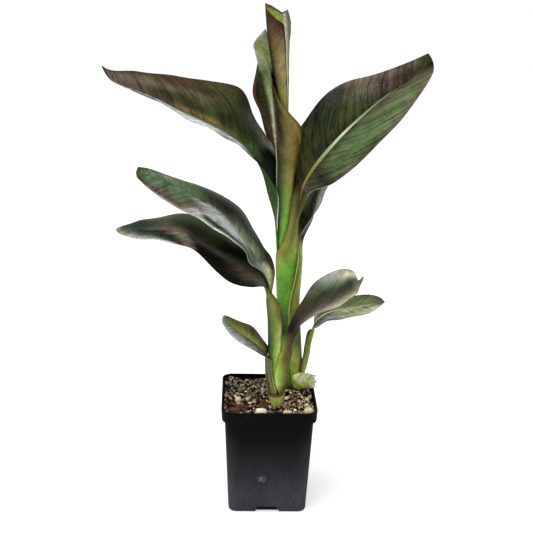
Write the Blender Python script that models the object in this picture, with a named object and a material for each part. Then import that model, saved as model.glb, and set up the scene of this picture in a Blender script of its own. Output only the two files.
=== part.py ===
"""Potted canna: a young dark-leaved canna in a square nursery pot.

Lengths are millimetres in this file and become metres when a mesh is made.  The origin is the centre of
the pot's underside, +Z is up, the pot's four sides face along X and Y, and -Y is the front.
Directions around a stem are angles in degrees seen from above: 0 is +X, 90 is the back, 180 is -X and
-90 (or 270) is the front.
"""

import math

import bpy
import numpy as np

MM = 0.001

# Pot
POT_HEIGHT = 123.0
POT_FOOT_WIDTH = 84.5
POT_SHOULDER_WIDTH = 94.6
RIM_WIDTH = 102.0
RIM_HEIGHT = 13.0
RIM_FLARE = 0.7
POT_WALL = 1.4
POT_FLOOR = 1.6
POT_CORNER_RADIUS = 9.0
FOOT_ROUNDING = 2.0
DRAIN_WIDTH = 28.0
DRAIN_TOP_WIDTH = 20.0
DRAIN_HEIGHT = 6.8
DRAIN_DEPTH = 7.0

# Potting mix
MIX_LEVEL = 118.0
MIX_BUMP = 1.1

# Clearance between touching pieces, and the thickness of a leaf in this solid model
GAP = 0.3
LEAF_THICKNESS = 0.8

# Rings at the foot of each shoot, where the leaf sheaths are rooted
FRONT_RING_TOP = 134.7
MAIN_RING_TOP = 117.5
SHEATH_SEAT = 0.35

# Mesh fineness: points around a stem, around the pot, along a leaf and across it
STEM_SIDES = 16
POT_CORNER_STEPS = 4
LEAF_ROWS = 16
LEAF_COLUMNS = 9
ROLLED_COLUMNS = 15

COLOURS = {
    "pot_plastic": ((0.030, 0.031, 0.036), 0.45),
    "potting_mix": ((0.060, 0.042, 0.030), 0.95),
    "perlite": ((0.78, 0.72, 0.60), 0.90),
    "bark": ((0.14, 0.075, 0.05), 0.90),
    "leaf": ((0.085, 0.085, 0.055), 0.45),
    "young_leaf": ((0.28, 0.26, 0.11), 0.45),
    "stem": ((0.26, 0.42, 0.08), 0.45),
    "rhizome": ((0.42, 0.34, 0.20), 0.75),
}


# ---------------------------------------------------------------------------------------------------
# Curves and sections


def unit(vectors):
    """The vectors scaled to length one."""
    return vectors / np.maximum(np.linalg.norm(vectors, axis=-1, keepdims=True), 1e-9)


def smooth(rows, count):
    """count rows along a smooth curve through the given rows of points (a cubic in each interval)."""
    rows = np.asarray(rows, float)
    tail = (-1,) + (1,) * (rows.ndim - 1)
    step = np.diff(rows, axis=0)
    span = np.sqrt(np.linalg.norm(step.reshape(len(step), -1), axis=1))
    place = np.concatenate([[0.0], np.cumsum(span)])
    slope = step / span.reshape(tail)
    tangent = np.empty_like(rows)
    before, after = span[:-1].reshape(tail), span[1:].reshape(tail)
    tangent[1:-1] = (slope[:-1] * after + slope[1:] * before) / (before + after)
    tangent[0] = (3 * slope[0] - tangent[1]) / 2
    tangent[-1] = (3 * slope[-1] - tangent[-2]) / 2
    wanted = np.linspace(0, place[-1], count)
    cell = np.clip(np.searchsorted(place, wanted, side="right") - 1, 0, len(span) - 1)
    width = span[cell].reshape(tail)
    f = ((wanted - place[cell]) / span[cell]).reshape(tail)
    return (
        rows[cell] * (1 + 2 * f) * (1 - f) ** 2
        + tangent[cell] * width * f * (1 - f) ** 2
        + rows[cell + 1] * f * f * (3 - 2 * f)
        + tangent[cell + 1] * width * f * f * (f - 1)
    )


def wrap(centre, radius, angles, lift=0.0, toward=0.0):
    """A leaf's cross-section where it clasps a stem: an arc about centre from the first angle to the
    second.  Two radii make it a spiral.  lift raises the side that faces the angle toward."""
    inner, outer = radius if isinstance(radius, tuple) else (radius, radius)

    def points(v, _tangent):
        share = (v + 1) / 2
        angle = np.radians(angles[0] + (angles[1] - angles[0]) * share)
        reach = inner + (outer - inner) * share
        rise = lift * np.cos(angle - math.radians(toward))
        return np.array(centre) + np.stack([reach * np.cos(angle), reach * np.sin(angle), rise], 1)

    return points


def across(left, midrib, right, arch=(0.08, 0.08)):
    """A leaf's cross-section where its blade is open: two halves from the midrib to the margins, each
    arched to its upper side by a share of its own width."""
    left, midrib, right = (np.array(p, float) for p in (left, midrib, right))

    def points(v, tangent):
        side = np.where(v[:, None] < 0, left - midrib, right - midrib)
        height = np.where(v < 0, arch[0], arch[1])[:, None] * np.linalg.norm(side, axis=1)[:, None]
        turn = np.where(v[:, None] < 0, -1.0, 1.0)
        upward = unit(np.cross(side * turn, tangent))
        s = np.abs(v)[:, None]
        return midrib + s * side + height * np.sin(np.pi * s) * upward

    return points


def leaf_surface(stations, rows, columns):
    """The leaf's middle surface as rows of points: a smooth loft through its cross-sections."""
    v = np.linspace(-1, 1, columns)
    middle = np.array([s(np.zeros(1), np.array([0.0, 0.0, 1.0]))[0] for s in stations])
    tangents = unit(np.gradient(middle, axis=0))
    return smooth([s(v, t) for s, t in zip(stations, tangents)], rows)


# ---------------------------------------------------------------------------------------------------
# Meshes


def make_material(slot):
    """The Principled material of a slot, made once."""
    found = bpy.data.materials.get(slot)
    if found:
        return found
    colour, roughness = COLOURS[slot]
    material = bpy.data.materials.new(slot)
    material.use_nodes = True
    shader = material.node_tree.nodes["Principled BSDF"]
    shader.inputs["Base Color"].default_value = (*colour, 1.0)
    shader.inputs["Roughness"].default_value = roughness
    shader.inputs["Metallic"].default_value = 0.0
    return material


def make_object(name, points, faces, slot):
    """A smooth-shaded object from points in millimetres, with its faces turned outwards."""
    points = np.asarray(points, float)
    corner = np.array([[f[0], f[i], f[i + 1]] for f in faces for i in range(1, len(f) - 1)])
    a, b, c = (points[corner[:, k]] for k in range(3))
    if np.einsum("ij,ij->", a, np.cross(b, c)) < 0:
        faces = [tuple(reversed(f)) for f in faces]
    mesh = bpy.data.meshes.new(name)
    mesh.from_pydata((points * MM).tolist(), [], faces)
    mesh.shade_smooth()
    mesh.set_sharp_from_angle(angle=math.radians(40))
    mesh.materials.append(make_material(slot))
    item = bpy.data.objects.new(name, mesh)
    bpy.context.scene.collection.objects.link(item)
    return item


def grid_faces(rows, columns, closed):
    """Quads between the points of a grid; closed joins the last column to the first."""
    faces = []
    for i in range(rows - 1):
        for j in range(columns if closed else columns - 1):
            k = (j + 1) % columns
            faces.append((i * columns + j, i * columns + k, (i + 1) * columns + k, (i + 1) * columns + j))
    return faces


def make_sheet(name, surface, thickness, slot):
    """A closed thin shell of even thickness about a surface given as rows of points."""
    rows, columns = surface.shape[:2]
    normal = unit(np.cross(np.gradient(surface, axis=1), np.gradient(surface, axis=0)))
    upper = (surface + normal * thickness / 2).reshape(-1, 3)
    lower = (surface - normal * thickness / 2).reshape(-1, 3)
    size = rows * columns
    faces = grid_faces(rows, columns, closed=False)
    faces += [tuple(size + i for i in reversed(f)) for f in faces]
    edge = [j for j in range(columns)]
    edge += [i * columns + columns - 1 for i in range(1, rows)]
    edge += [(rows - 1) * columns + j for j in range(columns - 2, -1, -1)]
    edge += [i * columns for i in range(rows - 2, 0, -1)]
    for here, following in zip(edge, edge[1:] + edge[:1]):
        faces.append((following, here, here + size, following + size))
    return make_object(name, np.vstack([upper, lower]), faces, slot)


def make_leaf(name, stations, slot, columns=LEAF_COLUMNS, rows=LEAF_ROWS):
    """A leaf with its sheath and stalk, in one piece."""
    return make_sheet(name, leaf_surface(stations, rows, columns), LEAF_THICKNESS, slot)


def make_lofted(name, rings, slot):
    """A closed solid through rings of points, with flat ends."""
    rings = np.array(rings)
    count, sides = rings.shape[:2]
    faces = grid_faces(count, sides, closed=True)
    faces.append(tuple(reversed(range(sides))))
    faces.append(tuple(range((count - 1) * sides, count * sides)))
    return make_object(name, rings.reshape(-1, 3), faces, slot)


def ring_about(centre, radius, sides=STEM_SIDES):
    """A level circle of points."""
    angle = np.arange(sides) * 2 * np.pi / sides
    circle = np.stack([np.cos(angle), np.sin(angle), np.zeros(sides)], 1)
    return np.array(centre, float) + circle * radius


def point_at(centreline, height):
    """The point of a smooth centreline at a height."""
    line = smooth(centreline, 80)
    return tuple(np.interp(height, line[:, 2], line[:, k]) for k in range(2)) + (height,)


def make_stem(name, centreline, girths, slot, extra=0.0):
    """A round stem.  centreline is points up the stem; girths is (height, radius) from foot to top."""
    rings = [ring_about(point_at(centreline, height), radius + extra) for height, radius in girths]
    rings[0] = rings[0] - [0, 0, extra]
    rings[-1] = rings[-1] + [0, 0, extra]
    return make_lofted(name, rings, slot)


def make_lump(name, centre, size, slot, seed, extra=0.0):
    """A rough stone or chip: a round body of about the given size, knocked about by a seeded draw."""
    draw = np.random.default_rng(seed)
    rows, sides = 5, 9
    rings = []
    for i in range(rows):
        polar = math.pi * (i + 0.55) / (rows + 0.1)
        circle = ring_about((0, 0, 0), math.sin(polar), sides)
        circle[:, 2] = -math.cos(polar)
        circle *= draw.uniform(0.86, 1.08, (sides, 1))
        rings.append(circle)
    body = np.array(rings) * (np.array(size) / 2 + extra) + np.array(centre)
    return make_lofted(name, body, slot)


def cut(item, *cutters):
    """Takes each cutter's solid away from the item, and keeps the cutters out of the model."""
    for cutter in cutters:
        cutter.hide_render = True
        cutter.display_type = "WIRE"
        change = item.modifiers.new("cut_" + cutter.name, "BOOLEAN")
        change.operation = "DIFFERENCE"
        change.solver = "EXACT"
        change.object = cutter


# ---------------------------------------------------------------------------------------------------
# Pot


def rounded_square(width, corner, height):
    """A level square outline with round corners, as points."""
    points = []
    for quarter in range(4):
        base = quarter * math.pi / 2
        for step in range(POT_CORNER_STEPS + 1):
            angle = base + step / POT_CORNER_STEPS * math.pi / 2
            middle = base + math.pi / 4
            centre = (width / 2 - corner) * math.sqrt(2)
            points.append((
                centre * math.cos(middle) + corner * math.cos(angle),
                centre * math.sin(middle) + corner * math.sin(angle),
                height,
            ))
    return points


def wall_width(height):
    """The pot's outside width below the rim."""
    shoulder = POT_HEIGHT - RIM_HEIGHT
    return POT_FOOT_WIDTH + (POT_SHOULDER_WIDTH - POT_FOOT_WIDTH) * height / shoulder


def drain_cutters(label, extra=0.0):
    """The four drain notches at the middle of each side's foot, as cutters."""
    cutters = []
    for side in range(4):
        turn = side * math.pi / 2
        along = np.array([math.cos(turn), math.sin(turn), 0.0])
        out = np.array([-math.sin(turn), math.cos(turn), 0.0])
        inner = POT_FOOT_WIDTH / 2 - DRAIN_DEPTH - extra
        rings = []
        for reach in (inner, POT_FOOT_WIDTH / 2 + 3.0):
            low, high = DRAIN_WIDTH / 2 + extra, DRAIN_TOP_WIDTH / 2 + extra
            corners = [(-low, -1.0), (low, -1.0), (high, DRAIN_HEIGHT + extra), (-high, DRAIN_HEIGHT + extra)]
            rings.append([along * x + out * reach + np.array([0, 0, z]) for x, z in corners])
        cutters.append(make_lofted(f"{label}_{side}", rings, "pot_plastic"))
    return cutters


def make_pot():
    """The moulded pot: a tapered square body, a deeper rim band round its top and four drain notches."""
    shoulder = POT_HEIGHT - RIM_HEIGHT
    r = POT_CORNER_RADIUS
    outside = [
        (POT_FOOT_WIDTH - 2 * FOOT_ROUNDING, r - FOOT_ROUNDING, 0.0),
        (POT_FOOT_WIDTH - 0.6 * FOOT_ROUNDING, r - 0.6, 0.5 * FOOT_ROUNDING),
        (wall_width(2.5), r, 2.5),
        (wall_width(shoulder - 1.0), r, shoulder - 1.0),
        (RIM_WIDTH - 2 * RIM_FLARE, r + 1.5, shoulder),
        (RIM_WIDTH, r + 2.0, POT_HEIGHT - 0.6),
        (RIM_WIDTH - 1.2, r + 1.6, POT_HEIGHT),
    ]
    inside = [
        (RIM_WIDTH - 2 * POT_WALL, r + 1.0, POT_HEIGHT),
        (RIM_WIDTH - 2 * RIM_FLARE - 2 * POT_WALL, r, shoulder + POT_WALL),
        (wall_width(shoulder) - 2 * POT_WALL, r - 1.0, shoulder),
        (wall_width(POT_FLOOR) - 2 * POT_WALL, r - 1.4, POT_FLOOR),
    ]
    rings = [rounded_square(w, c, z) for w, c, z in outside + inside]
    pot = make_lofted("nursery_pot", rings, "pot_plastic")
    cut(pot, *drain_cutters("pot_drain"))
    return pot


# ---------------------------------------------------------------------------------------------------
# Potting mix, stones and chips

STONES = {
    "perlite_front": ((-9.0, -41.5, 119.5), (12.5, 9.5, 9.0), 3),
    "perlite_left": ((-29.0, -17.0, 119.5), (8.5, 8.0, 7.5), 5),
    "perlite_left_small": ((-22.0, -15.0, 119.5), (5.5, 6.0, 6.0), 8),
    "perlite_front_right": ((18.5, -41.0, 119.0), (9.0, 6.5, 5.5), 11),
    "perlite_right": ((42.0, -37.5, 119.5), (10.5, 8.0, 7.5), 14),
}
BARK = {
    "bark_chip_middle": ((-5.0, -26.0, 119.5), (10.0, 13.0, 4.0), 21),
    "bark_chip_left": ((-37.0, -35.0, 119.0), (12.0, 8.0, 4.0), 24),
}


def mix_height(x, y):
    """The uneven top of the potting mix: three crossing waves."""
    bumps = np.sin(x / 7.3 + 1.1) * np.sin(y / 6.1 + 0.4) + 0.6 * np.sin((x + y) / 3.9) * np.sin((x - y) / 4.7)
    return MIX_LEVEL + MIX_BUMP * bumps


def make_mix():
    """The potting mix: fills the pot to just under the rim, with a bumpy top."""
    shoulder = POT_HEIGHT - RIM_HEIGHT
    clear = 2 * POT_WALL + 2 * GAP
    r = POT_CORNER_RADIUS
    rings = [
        rounded_square(wall_width(POT_FLOOR) - clear, r - 1.6, POT_FLOOR + GAP),
        rounded_square(wall_width(shoulder) - clear, r - 1.2, shoulder + GAP),
        rounded_square(RIM_WIDTH - 2 * RIM_FLARE - clear, r, shoulder + POT_WALL + 2 * GAP),
        rounded_square(RIM_WIDTH - 2 * RIM_FLARE - clear, r, MIX_LEVEL - 1.5),
    ]
    for share in (0.97, 0.80, 0.62, 0.44, 0.26, 0.10):
        ring = np.array(rounded_square((RIM_WIDTH - 6.0) * share, r * share, 0.0))
        ring[:, 2] = mix_height(ring[:, 0], ring[:, 1])
        rings.append(ring)
    return make_lofted("potting_mix", rings, "potting_mix")


# ---------------------------------------------------------------------------------------------------
# Stems and rhizome

FRONT_LINE = [(9, -23, 94), (7.9, -23, 124), (6.4, -23, 135), (5, -22, 188.5), (4, -21.5, 220), (1, -21, 240)]
MAIN_LINE = [
    (30, 31, 94), (28, 30.5, 118), (23, 28.5, 172), (19, 26, 222),
    (17, 24.5, 265), (15, 23.5, 290), (12.5, 21.5, 329), (11.5, 20, 352),
]
FRONT_GIRTH = [
    (94, 4.6), (108, 6.0), (118, 6.9), (126, 6.9), (130.5, 6.6), (132.2, 10.4), (FRONT_RING_TOP, 11.5),
    (FRONT_RING_TOP, 5.0), (190, 4.8), (222, 4.5), (233, 2.8), (238, 1.5),
]
MAIN_GIRTH = [
    (94, 5.0), (108, 8.5), (114, 12.4), (MAIN_RING_TOP, 13.0),
    (MAIN_RING_TOP, 5.0), (145, 5.0), (172, 4.9), (197, 4.8), (222, 4.8), (265, 4.6), (290, 4.4),
    (312, 4.0), (336, 2.8), (351, 2.4),
]
RHIZOME_LINE = [(2, -36, 94), (8.5, -23, 93), (17, 2, 90), (30, 31, 93), (34, 39, 95)]
RHIZOME_GIRTH = [5.0, 9.0, 8.0, 9.5, 5.0]
RHIZOME_RINGS = 15
RHIZOME_SCAR = 0.5


def make_rhizome(name, extra=0.0):
    """The rhizome: a knobbly creeping stem under the mix, ringed by old scars, that bears both shoots."""
    line = smooth(RHIZOME_LINE, RHIZOME_RINGS)
    girth = smooth([(g, 0.0) for g in RHIZOME_GIRTH], RHIZOME_RINGS)[:, 0]
    girth = girth + RHIZOME_SCAR * np.cos(np.pi * np.arange(RHIZOME_RINGS)) + extra
    tangent = unit(np.gradient(line, axis=0))
    line[0] -= tangent[0] * extra
    line[-1] += tangent[-1] * extra
    side = unit(np.cross(tangent, [0.0, 0.0, 1.0]))
    top = np.cross(side, tangent)
    angle = np.arange(STEM_SIDES) * 2 * np.pi / STEM_SIDES
    rings = [
        line[i] + girth[i] * (np.cos(angle)[:, None] * side[i] + np.sin(angle)[:, None] * top[i])
        for i in range(RHIZOME_RINGS)
    ]
    return make_lofted(name, rings, "rhizome")


def make_underground():
    """Rhizome, both stems, stones, chips and the mix that is hollowed out for all of them."""
    make_rhizome("rhizome")
    front = make_stem("front_stem", FRONT_LINE, FRONT_GIRTH, "stem")
    main = make_stem("main_stem", MAIN_LINE, MAIN_GIRTH, "stem")
    cut(front, make_rhizome("front_foot_cut", GAP))
    cut(main, make_rhizome("main_foot_cut", GAP))
    hollows = [
        make_rhizome("mix_rhizome_cut", GAP),
        make_stem("mix_front_cut", FRONT_LINE, FRONT_GIRTH[:5], "stem", GAP),
        make_stem("mix_main_cut", MAIN_LINE, MAIN_GIRTH[:4] + [(MIX_LEVEL + 5, 13.0)], "stem", GAP),
    ]
    for group, slot in ((STONES, "perlite"), (BARK, "bark")):
        for name, (centre, size, seed) in group.items():
            make_lump(name, centre, size, slot, seed)
            hollows.append(make_lump("cut_" + name, centre, size, slot, seed, 2 * GAP))
    mix = make_mix()
    cut(mix, *hollows, *drain_cutters("mix_drain", 2 * GAP))


# ---------------------------------------------------------------------------------------------------
# Leaves.  Each is a list of cross-sections from its root to its tip.

MAIN_SEAT = MAIN_RING_TOP + SHEATH_SEAT
FRONT_SEAT = FRONT_RING_TOP + SHEATH_SEAT


def main_wrap(height, radius, angles):
    """A sheath's section centred on the main shoot."""
    return wrap(point_at(MAIN_LINE, height), radius, angles)


LEAVES = {
    "upper_left_leaf": ("leaf", [
        main_wrap(MAIN_SEAT, 7.4, (250, 110)),
        main_wrap(172, 7.6, (250, 110)),
        main_wrap(222, 7.8, (250, 110)),
        main_wrap(265, 8.2, (250, 110)),
        main_wrap(311, 8.6, (248, 125)),
        across((4, 10, 344), (-5, 20, 341), (5, 30, 346), (0.25, 0.25)),
        across((-11, 2, 373), (-14, 17, 372), (-1, 30, 376), (0.1, 0.2)),
        across((-26, -13, 384), (-25, 13, 387), (-7, 36, 398), (0.06, 0.1)),
        across((-42, -26, 398), (-44, 8, 405), (-21, 34, 423), (0.06, 0.1)),
        across((-63, -33, 413), (-66, 4, 419), (-40, 28, 451), (0.06, 0.1)),
        across((-87, -33, 424), (-88, 1, 428), (-68, 26, 458), (0.06, 0.1)),
        across((-113, -25, 436), (-115, -1, 438), (-104, 20, 462), (0.06, 0.1)),
        across((-140, -14, 448), (-142, -2, 449), (-137, 9, 466), (0.06, 0.1)),
        across((-163, -5, 459), (-163, -3, 461), (-163, 0, 468), (0.05, 0.05)),
        across((-171, -3.3, 471), (-171, -3, 472), (-171, -2.7, 472.5), (0, 0)),
    ]),
    "upper_right_leaf": ("leaf", [
        main_wrap(MAIN_SEAT, 8.9, (-215, -20)),
        main_wrap(172, 9.2, (-205, -45)),
        main_wrap(222, 9.6, (-205, -45)),
        main_wrap(265, 9.9, (-180, -30)),
        main_wrap(278, 10.4, (-150, -18)),
        wrap((15.8, 22.8, 291), 10.2, (-118, -5)),
        wrap((19, 20, 316), 9, (-95, 0)),
        across((20, 14, 337), (28, 9, 337), (36, 17, 337), (0.2, 0.2)),
        across((26, 22, 356), (31, 12, 352), (40, 7, 348), (0.05, 0.05)),
        across((28, 28, 376), (40, 14, 369), (58, 2, 356), (0.05, 0.05)),
        across((27, 31, 399), (53, 17, 386), (80, 2, 373), (0.05, 0.05)),
        across((32, 32, 421), (71, 21, 406), (104, 5, 397), (0.05, 0.05)),
        across((52, 32, 443), (90, 24, 424), (129, 10, 424), (0.05, 0.05)),
        across((77, 32, 459), (113, 26, 444), (148, 16, 450), (0.05, 0.05)),
        across((112, 32, 469), (136, 28, 459), (159, 22, 468), (0.05, 0.05)),
        across((142, 30, 482), (149, 28, 474), (160, 27, 479), (0.05, 0.05)),
        across((154, 29, 488), (154.3, 29, 487.7), (155, 29, 488), (0, 0)),
    ]),
    "middle_left_leaf": ("leaf", [
        wrap((5, -22, 188.5), 5.9, (250, 100)),
        wrap((4, -21.5, 222), 5.8, (250, 100)),
        wrap((1.8, -20.5, 242.5), 4, (240, 110)),
        across((-10, -25, 269), (-6, -20, 265), (3, -11, 267), (0.2, 0.2)),
        across((-24, -34, 282), (-14, -18, 278), (-1, -2, 279), (0.12, 0.12)),
        across((-29, -42, 297), (-22, -17, 290), (-8, 6, 287), (0.08, 0.1)),
        across((-44, -46, 311), (-37, -16, 309), (-18, 14, 302), (0.06, 0.1)),
        across((-60, -46, 321), (-54, -14, 328), (-32, 17, 324), (0.06, 0.1)),
        across((-77, -44, 332), (-71, -13, 340), (-53, 17, 340), (0.06, 0.1)),
        across((-95, -38, 338), (-91, -12, 351), (-78, 14, 351), (0.06, 0.1)),
        across((-114, -29, 348), (-112, -12, 362), (-104, 8, 360), (0.06, 0.1)),
        across((-129, -20, 357), (-129, -12, 367), (-126, -3, 371), (0.05, 0.05)),
        across((-138, -13, 364), (-139, -12, 369), (-137, -10, 374), (0, 0)),
    ]),
    "lower_left_leaf": ("leaf", [
        wrap((7, -23, FRONT_SEAT), 8, (-75, -265)),
        wrap((5, -22, 188.5), 7.7, (-35, -260)),
        wrap((4, -21.5, 218.5), 7.4, (-45, -250)),
        wrap((0.5, -21, 238.5), 6, (-60, -245)),
        across((-7, -27, 254), (-8, -21, 252), (-3, -14, 256), (0.2, 0.2)),
        across((-21, -33, 256), (-16, -20, 265), (-8, -6, 271), (0.1, 0.1)),
        across((-38, -42, 262), (-30, -21, 278), (-21, 6, 283), (0.1, 0.1)),
        across((-57, -50, 277), (-50, -23, 288), (-40, 16, 296), (0.1, 0.1)),
        across((-75, -50, 297), (-68, -25, 299), (-61, 19, 309), (0.08, 0.08)),
        across((-93, -47, 304), (-88, -26, 311), (-86, 16, 320), (0.06, 0.08)),
        across((-115, -40, 306), (-110, -26, 312), (-111, 6, 320), (0.05, 0.08)),
        across((-139, -32, 306), (-134, -26, 312), (-135, -8, 318), (0.04, 0.08)),
        across((-155, -25, 308), (-153, -23, 312), (-153, -18, 315), (0, 0)),
        across((-159, -22, 311), (-159, -22, 312), (-159, -21, 313), (0, 0)),
    ]),
    "small_left_leaf": ("leaf", [
        wrap((5.6, -23, FRONT_SEAT), 10, (-82, -290)),
        wrap((4.8, -23, 158), 9.7, (-106, -255)),
        wrap((2, -24, 172), 7.8, (-118, -230)),
        across((-8, -30, 179), (-7, -26, 182), (-3, -20, 183), (0.2, 0.2)),
        across((-17, -36, 187), (-16, -28, 193), (-8, -18, 193), (0.1, 0.1)),
        across((-31, -42, 198), (-28, -30, 203), (-18, -17, 206), (0.08, 0.1)),
        across((-43, -42, 208), (-40, -32, 213), (-31, -20, 213), (0.08, 0.1)),
        across((-51, -38, 219), (-48, -33, 222), (-43, -26, 221), (0.04, 0.04)),
        across((-51, -34, 223), (-50, -33, 225), (-48, -32, 225), (0, 0)),
    ]),
    "folded_right_leaf": ("leaf", [
        wrap((8, -23, FRONT_SEAT), 9.8, (-68, -20)),
        wrap((8, -22.5, 148.5), 11.2, (-100, -15)),
        wrap((9, -21.5, 162), 11, (-112, -12)),
        wrap((12.5, -20.5, 178), 11.1, (-111, -32)),
        across((16.5, -25, 197), (21.5, -27, 200), (27, -17, 199), (0.2, 0.2)),
        across((17, -29, 209), (28, -22, 208), (34, -8, 214), (0.1, 0.1)),
        across((22, -38, 227), (39, -20, 217), (44, 0, 228), (0.1, 0.1)),
        across((30, -45, 247), (52, -20, 225), (58, 4, 241), (0.1, 0.1)),
        across((43, -49, 269), (69, -22, 232), (71, 2, 251), (0.1, 0.1)),
        across((63, -48, 279), (82, -26, 242), (82, -6, 256), (0.1, 0.1)),
        across((81, -41, 273), (90, -30, 251), (89, -20, 260), (0.06, 0.06)),
        across((92, -33, 262), (92, -32.5, 261), (93, -32, 262), (0, 0)),
    ]),
    "small_right_leaf": ("leaf", [
        main_wrap(MAIN_SEAT, 12.1, (-50, 40)),
        main_wrap(127, 12.1, (-50, 40)),
        across((35, 19, 144), (41, 25, 142), (42, 35, 139), (0.15, 0.15)),
        across((38, 22, 158), (42, 27, 156), (45, 34, 154), (0.3, 0.3)),
        across((40, 27, 171), (42, 27, 171), (47, 34, 170), (0.35, 0.35)),
        across((43, 26, 186), (46, 27, 185), (50, 34, 184), (0.3, 0.3)),
        across((51, 16, 194), (53, 28, 198), (51, 38, 199), (0.1, 0.1)),
        across((63, 4, 206), (67, 25, 209), (65, 42, 212), (0.08, 0.1)),
        across((79, -4, 212), (87, 22, 214), (85, 41, 220), (0.08, 0.1)),
        across((98, -2, 216), (104, 18, 219), (106, 33, 227), (0.06, 0.08)),
        across((114, 6, 220), (117, 16, 223), (119, 22, 228), (0.04, 0.04)),
        across((123, 13.7, 224), (124, 14, 225), (124, 14.4, 225.4), (0, 0)),
    ]),
    "back_right_leaf": ("leaf", [
        main_wrap(MAIN_SEAT, 10.5, (100, -100)),
        main_wrap(172, 10.8, (90, -95)),
        main_wrap(222, 11.2, (75, -85)),
        wrap((19.5, 25.5, 247.5), 11.4, (70, -65)),
        wrap((21, 26, 271), 10.8, (75, -45)),
        across((29, 38, 287), (35, 31, 290), (31, 21, 293), (0.15, 0.15)),
        across((31, 42, 314), (43, 33, 312), (46, 20, 321), (0.06, 0.06)),
        across((36, 54, 335), (50, 40, 337), (56, 24, 345), (0.05, 0.05)),
        across((44, 64, 364), (61, 48, 364), (70, 34, 370), (0.05, 0.05)),
        across((57, 68, 393), (74, 54, 395), (83, 42, 396), (0.05, 0.05)),
        across((74, 66, 421), (87, 58, 422), (93, 48, 422), (0.05, 0.05)),
        across((94, 60, 443), (95, 60, 442), (96, 59, 442), (0, 0)),
    ]),
    "clasping_leaf": ("young_leaf", [
        main_wrap(MAIN_SEAT, 5.9, (-240, -20)),
        main_wrap(172, 6.1, (-240, -20)),
        main_wrap(222, 6.1, (-240, -20)),
        main_wrap(265, 6.5, (-240, 0)),
        main_wrap(290, 6.8, (-240, 20)),
        main_wrap(329, 7.0, (-215, 40)),
        wrap((12, 20, 354.5), 8.2, (-190, 60)),
        wrap((13.5, 18.5, 378), 10.8, (-155, 40)),
        wrap((14.1, 17.6, 391), 11.9, (-160, 30)),
        wrap((14.5, 17, 400), 12.6, (-158, 20)),
        wrap((14, 16.5, 413.5), 13, (-172, -15)),
        wrap((12.5, 16, 428), 12.6, (-180, -78)),
        wrap((11, 15.5, 439), 12, (-182, -124)),
        wrap((10, 15, 450), 12, (-183, -176)),
    ]),
    "half_rolled_leaf": ("young_leaf", [
        main_wrap(318.5, 5.4, (-140, -250)),
        wrap((11.3, 19.7, 351.5), 5.5, (-140, -250)),
        wrap((10.8, 19.1, 364), 5.5, (-150, -255)),
        across((4.8, 15.6, 379), (4.9, 18.8, 377), (6, 24, 376), (0.1, 0.1)),
        across((0.5, 13, 393), (3.2, 17.5, 391), (1.5, 24, 389), (0.1, 0.1)),
        across((-3, 7, 402), (0.5, 11, 405), (-8, 24, 402), (0.1, 0.1)),
        across((-7, 6, 426), (-1, 12, 425), (-15, 26, 425), (0.1, 0.1)),
        across((-12, 5, 449), (-3, 13, 448), (-23, 28, 445), (0.12, 0.12)),
        across((-16, 5, 467), (-5.5, 15, 468), (-20, 26, 467), (0.12, 0.12)),
        across((-22, 6, 488), (-7, 17.5, 485), (-17, 25, 486), (0.1, 0.1)),
        across((-23, 8, 496), (-8.5, 17.5, 498), (-16, 22, 495), (0.08, 0.08)),
        across((-12, 17, 509), (-11.5, 17.5, 509.3), (-12, 18, 509.5), (0, 0)),
    ]),
    "spear_leaf": ("young_leaf", [
        wrap((11.5, 20, 346), 3.9, (-40, -360)),
        wrap((9, 16.5, 414.5), 4, (-40, -370)),
        wrap((7.5, 14, 445), (4.6, 5.2), (-40, -380)),
        wrap((4.5, 12, 470), (6.6, 7.6), (-40, -385)),
        wrap((1.5, 10.5, 494.5), (8.6, 10.4), (-40, -385)),
        wrap((-0.8, 9, 513.5), (9.2, 12), (-40, -372), 7, 160),
        wrap((-3, 8.5, 522.5), (8.4, 12.2), (-40, -372), 12, 165),
    ]),
    "cut_leaf_stub": ("stem", [
        across((27, 18.4, 136), (27, 10, 133), (28, 18.4, 123), (0.3, 0.3)),
        across((35, 16, 139), (35, 5, 136), (35, 12, 124), (0.3, 0.3)),
        across((44, 14, 139), (43, 3, 136), (44, 10, 125), (0.3, 0.3)),
        across((51, 12, 138), (51, 2, 137), (51, 9, 127), (0.3, 0.3)),
    ]),
}
ROLLED = ("spear_leaf", "clasping_leaf")


def clear_scene():
    """Starts from an empty scene."""
    for item in list(bpy.data.objects):
        bpy.data.objects.remove(item)


def main():
    """Builds every piece of the plant and its pot."""
    clear_scene()
    make_pot()
    make_underground()
    for name, (slot, stations) in LEAVES.items():
        columns = ROLLED_COLUMNS if name in ROLLED else LEAF_COLUMNS
        make_leaf(name, stations, slot, columns, min(LEAF_ROWS, len(stations) + 3))


main()
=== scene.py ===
"""Potted canna: the looks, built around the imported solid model.

Lengths are millimetres and become metres when a mesh is made.  The origin is the centre of the pot's
underside, +Z is up and -Y is the front.  Directions around a stem are angles in degrees seen from above.
A leaf is a smooth loft through a few cross-sections, given a skin on both sides, a midrib, pleats along
its side veins and a wavy margin; its colours are painted station by station and carried by the mesh.
"""

import math

import bpy
import numpy as np
from mathutils import Matrix, Vector


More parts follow.
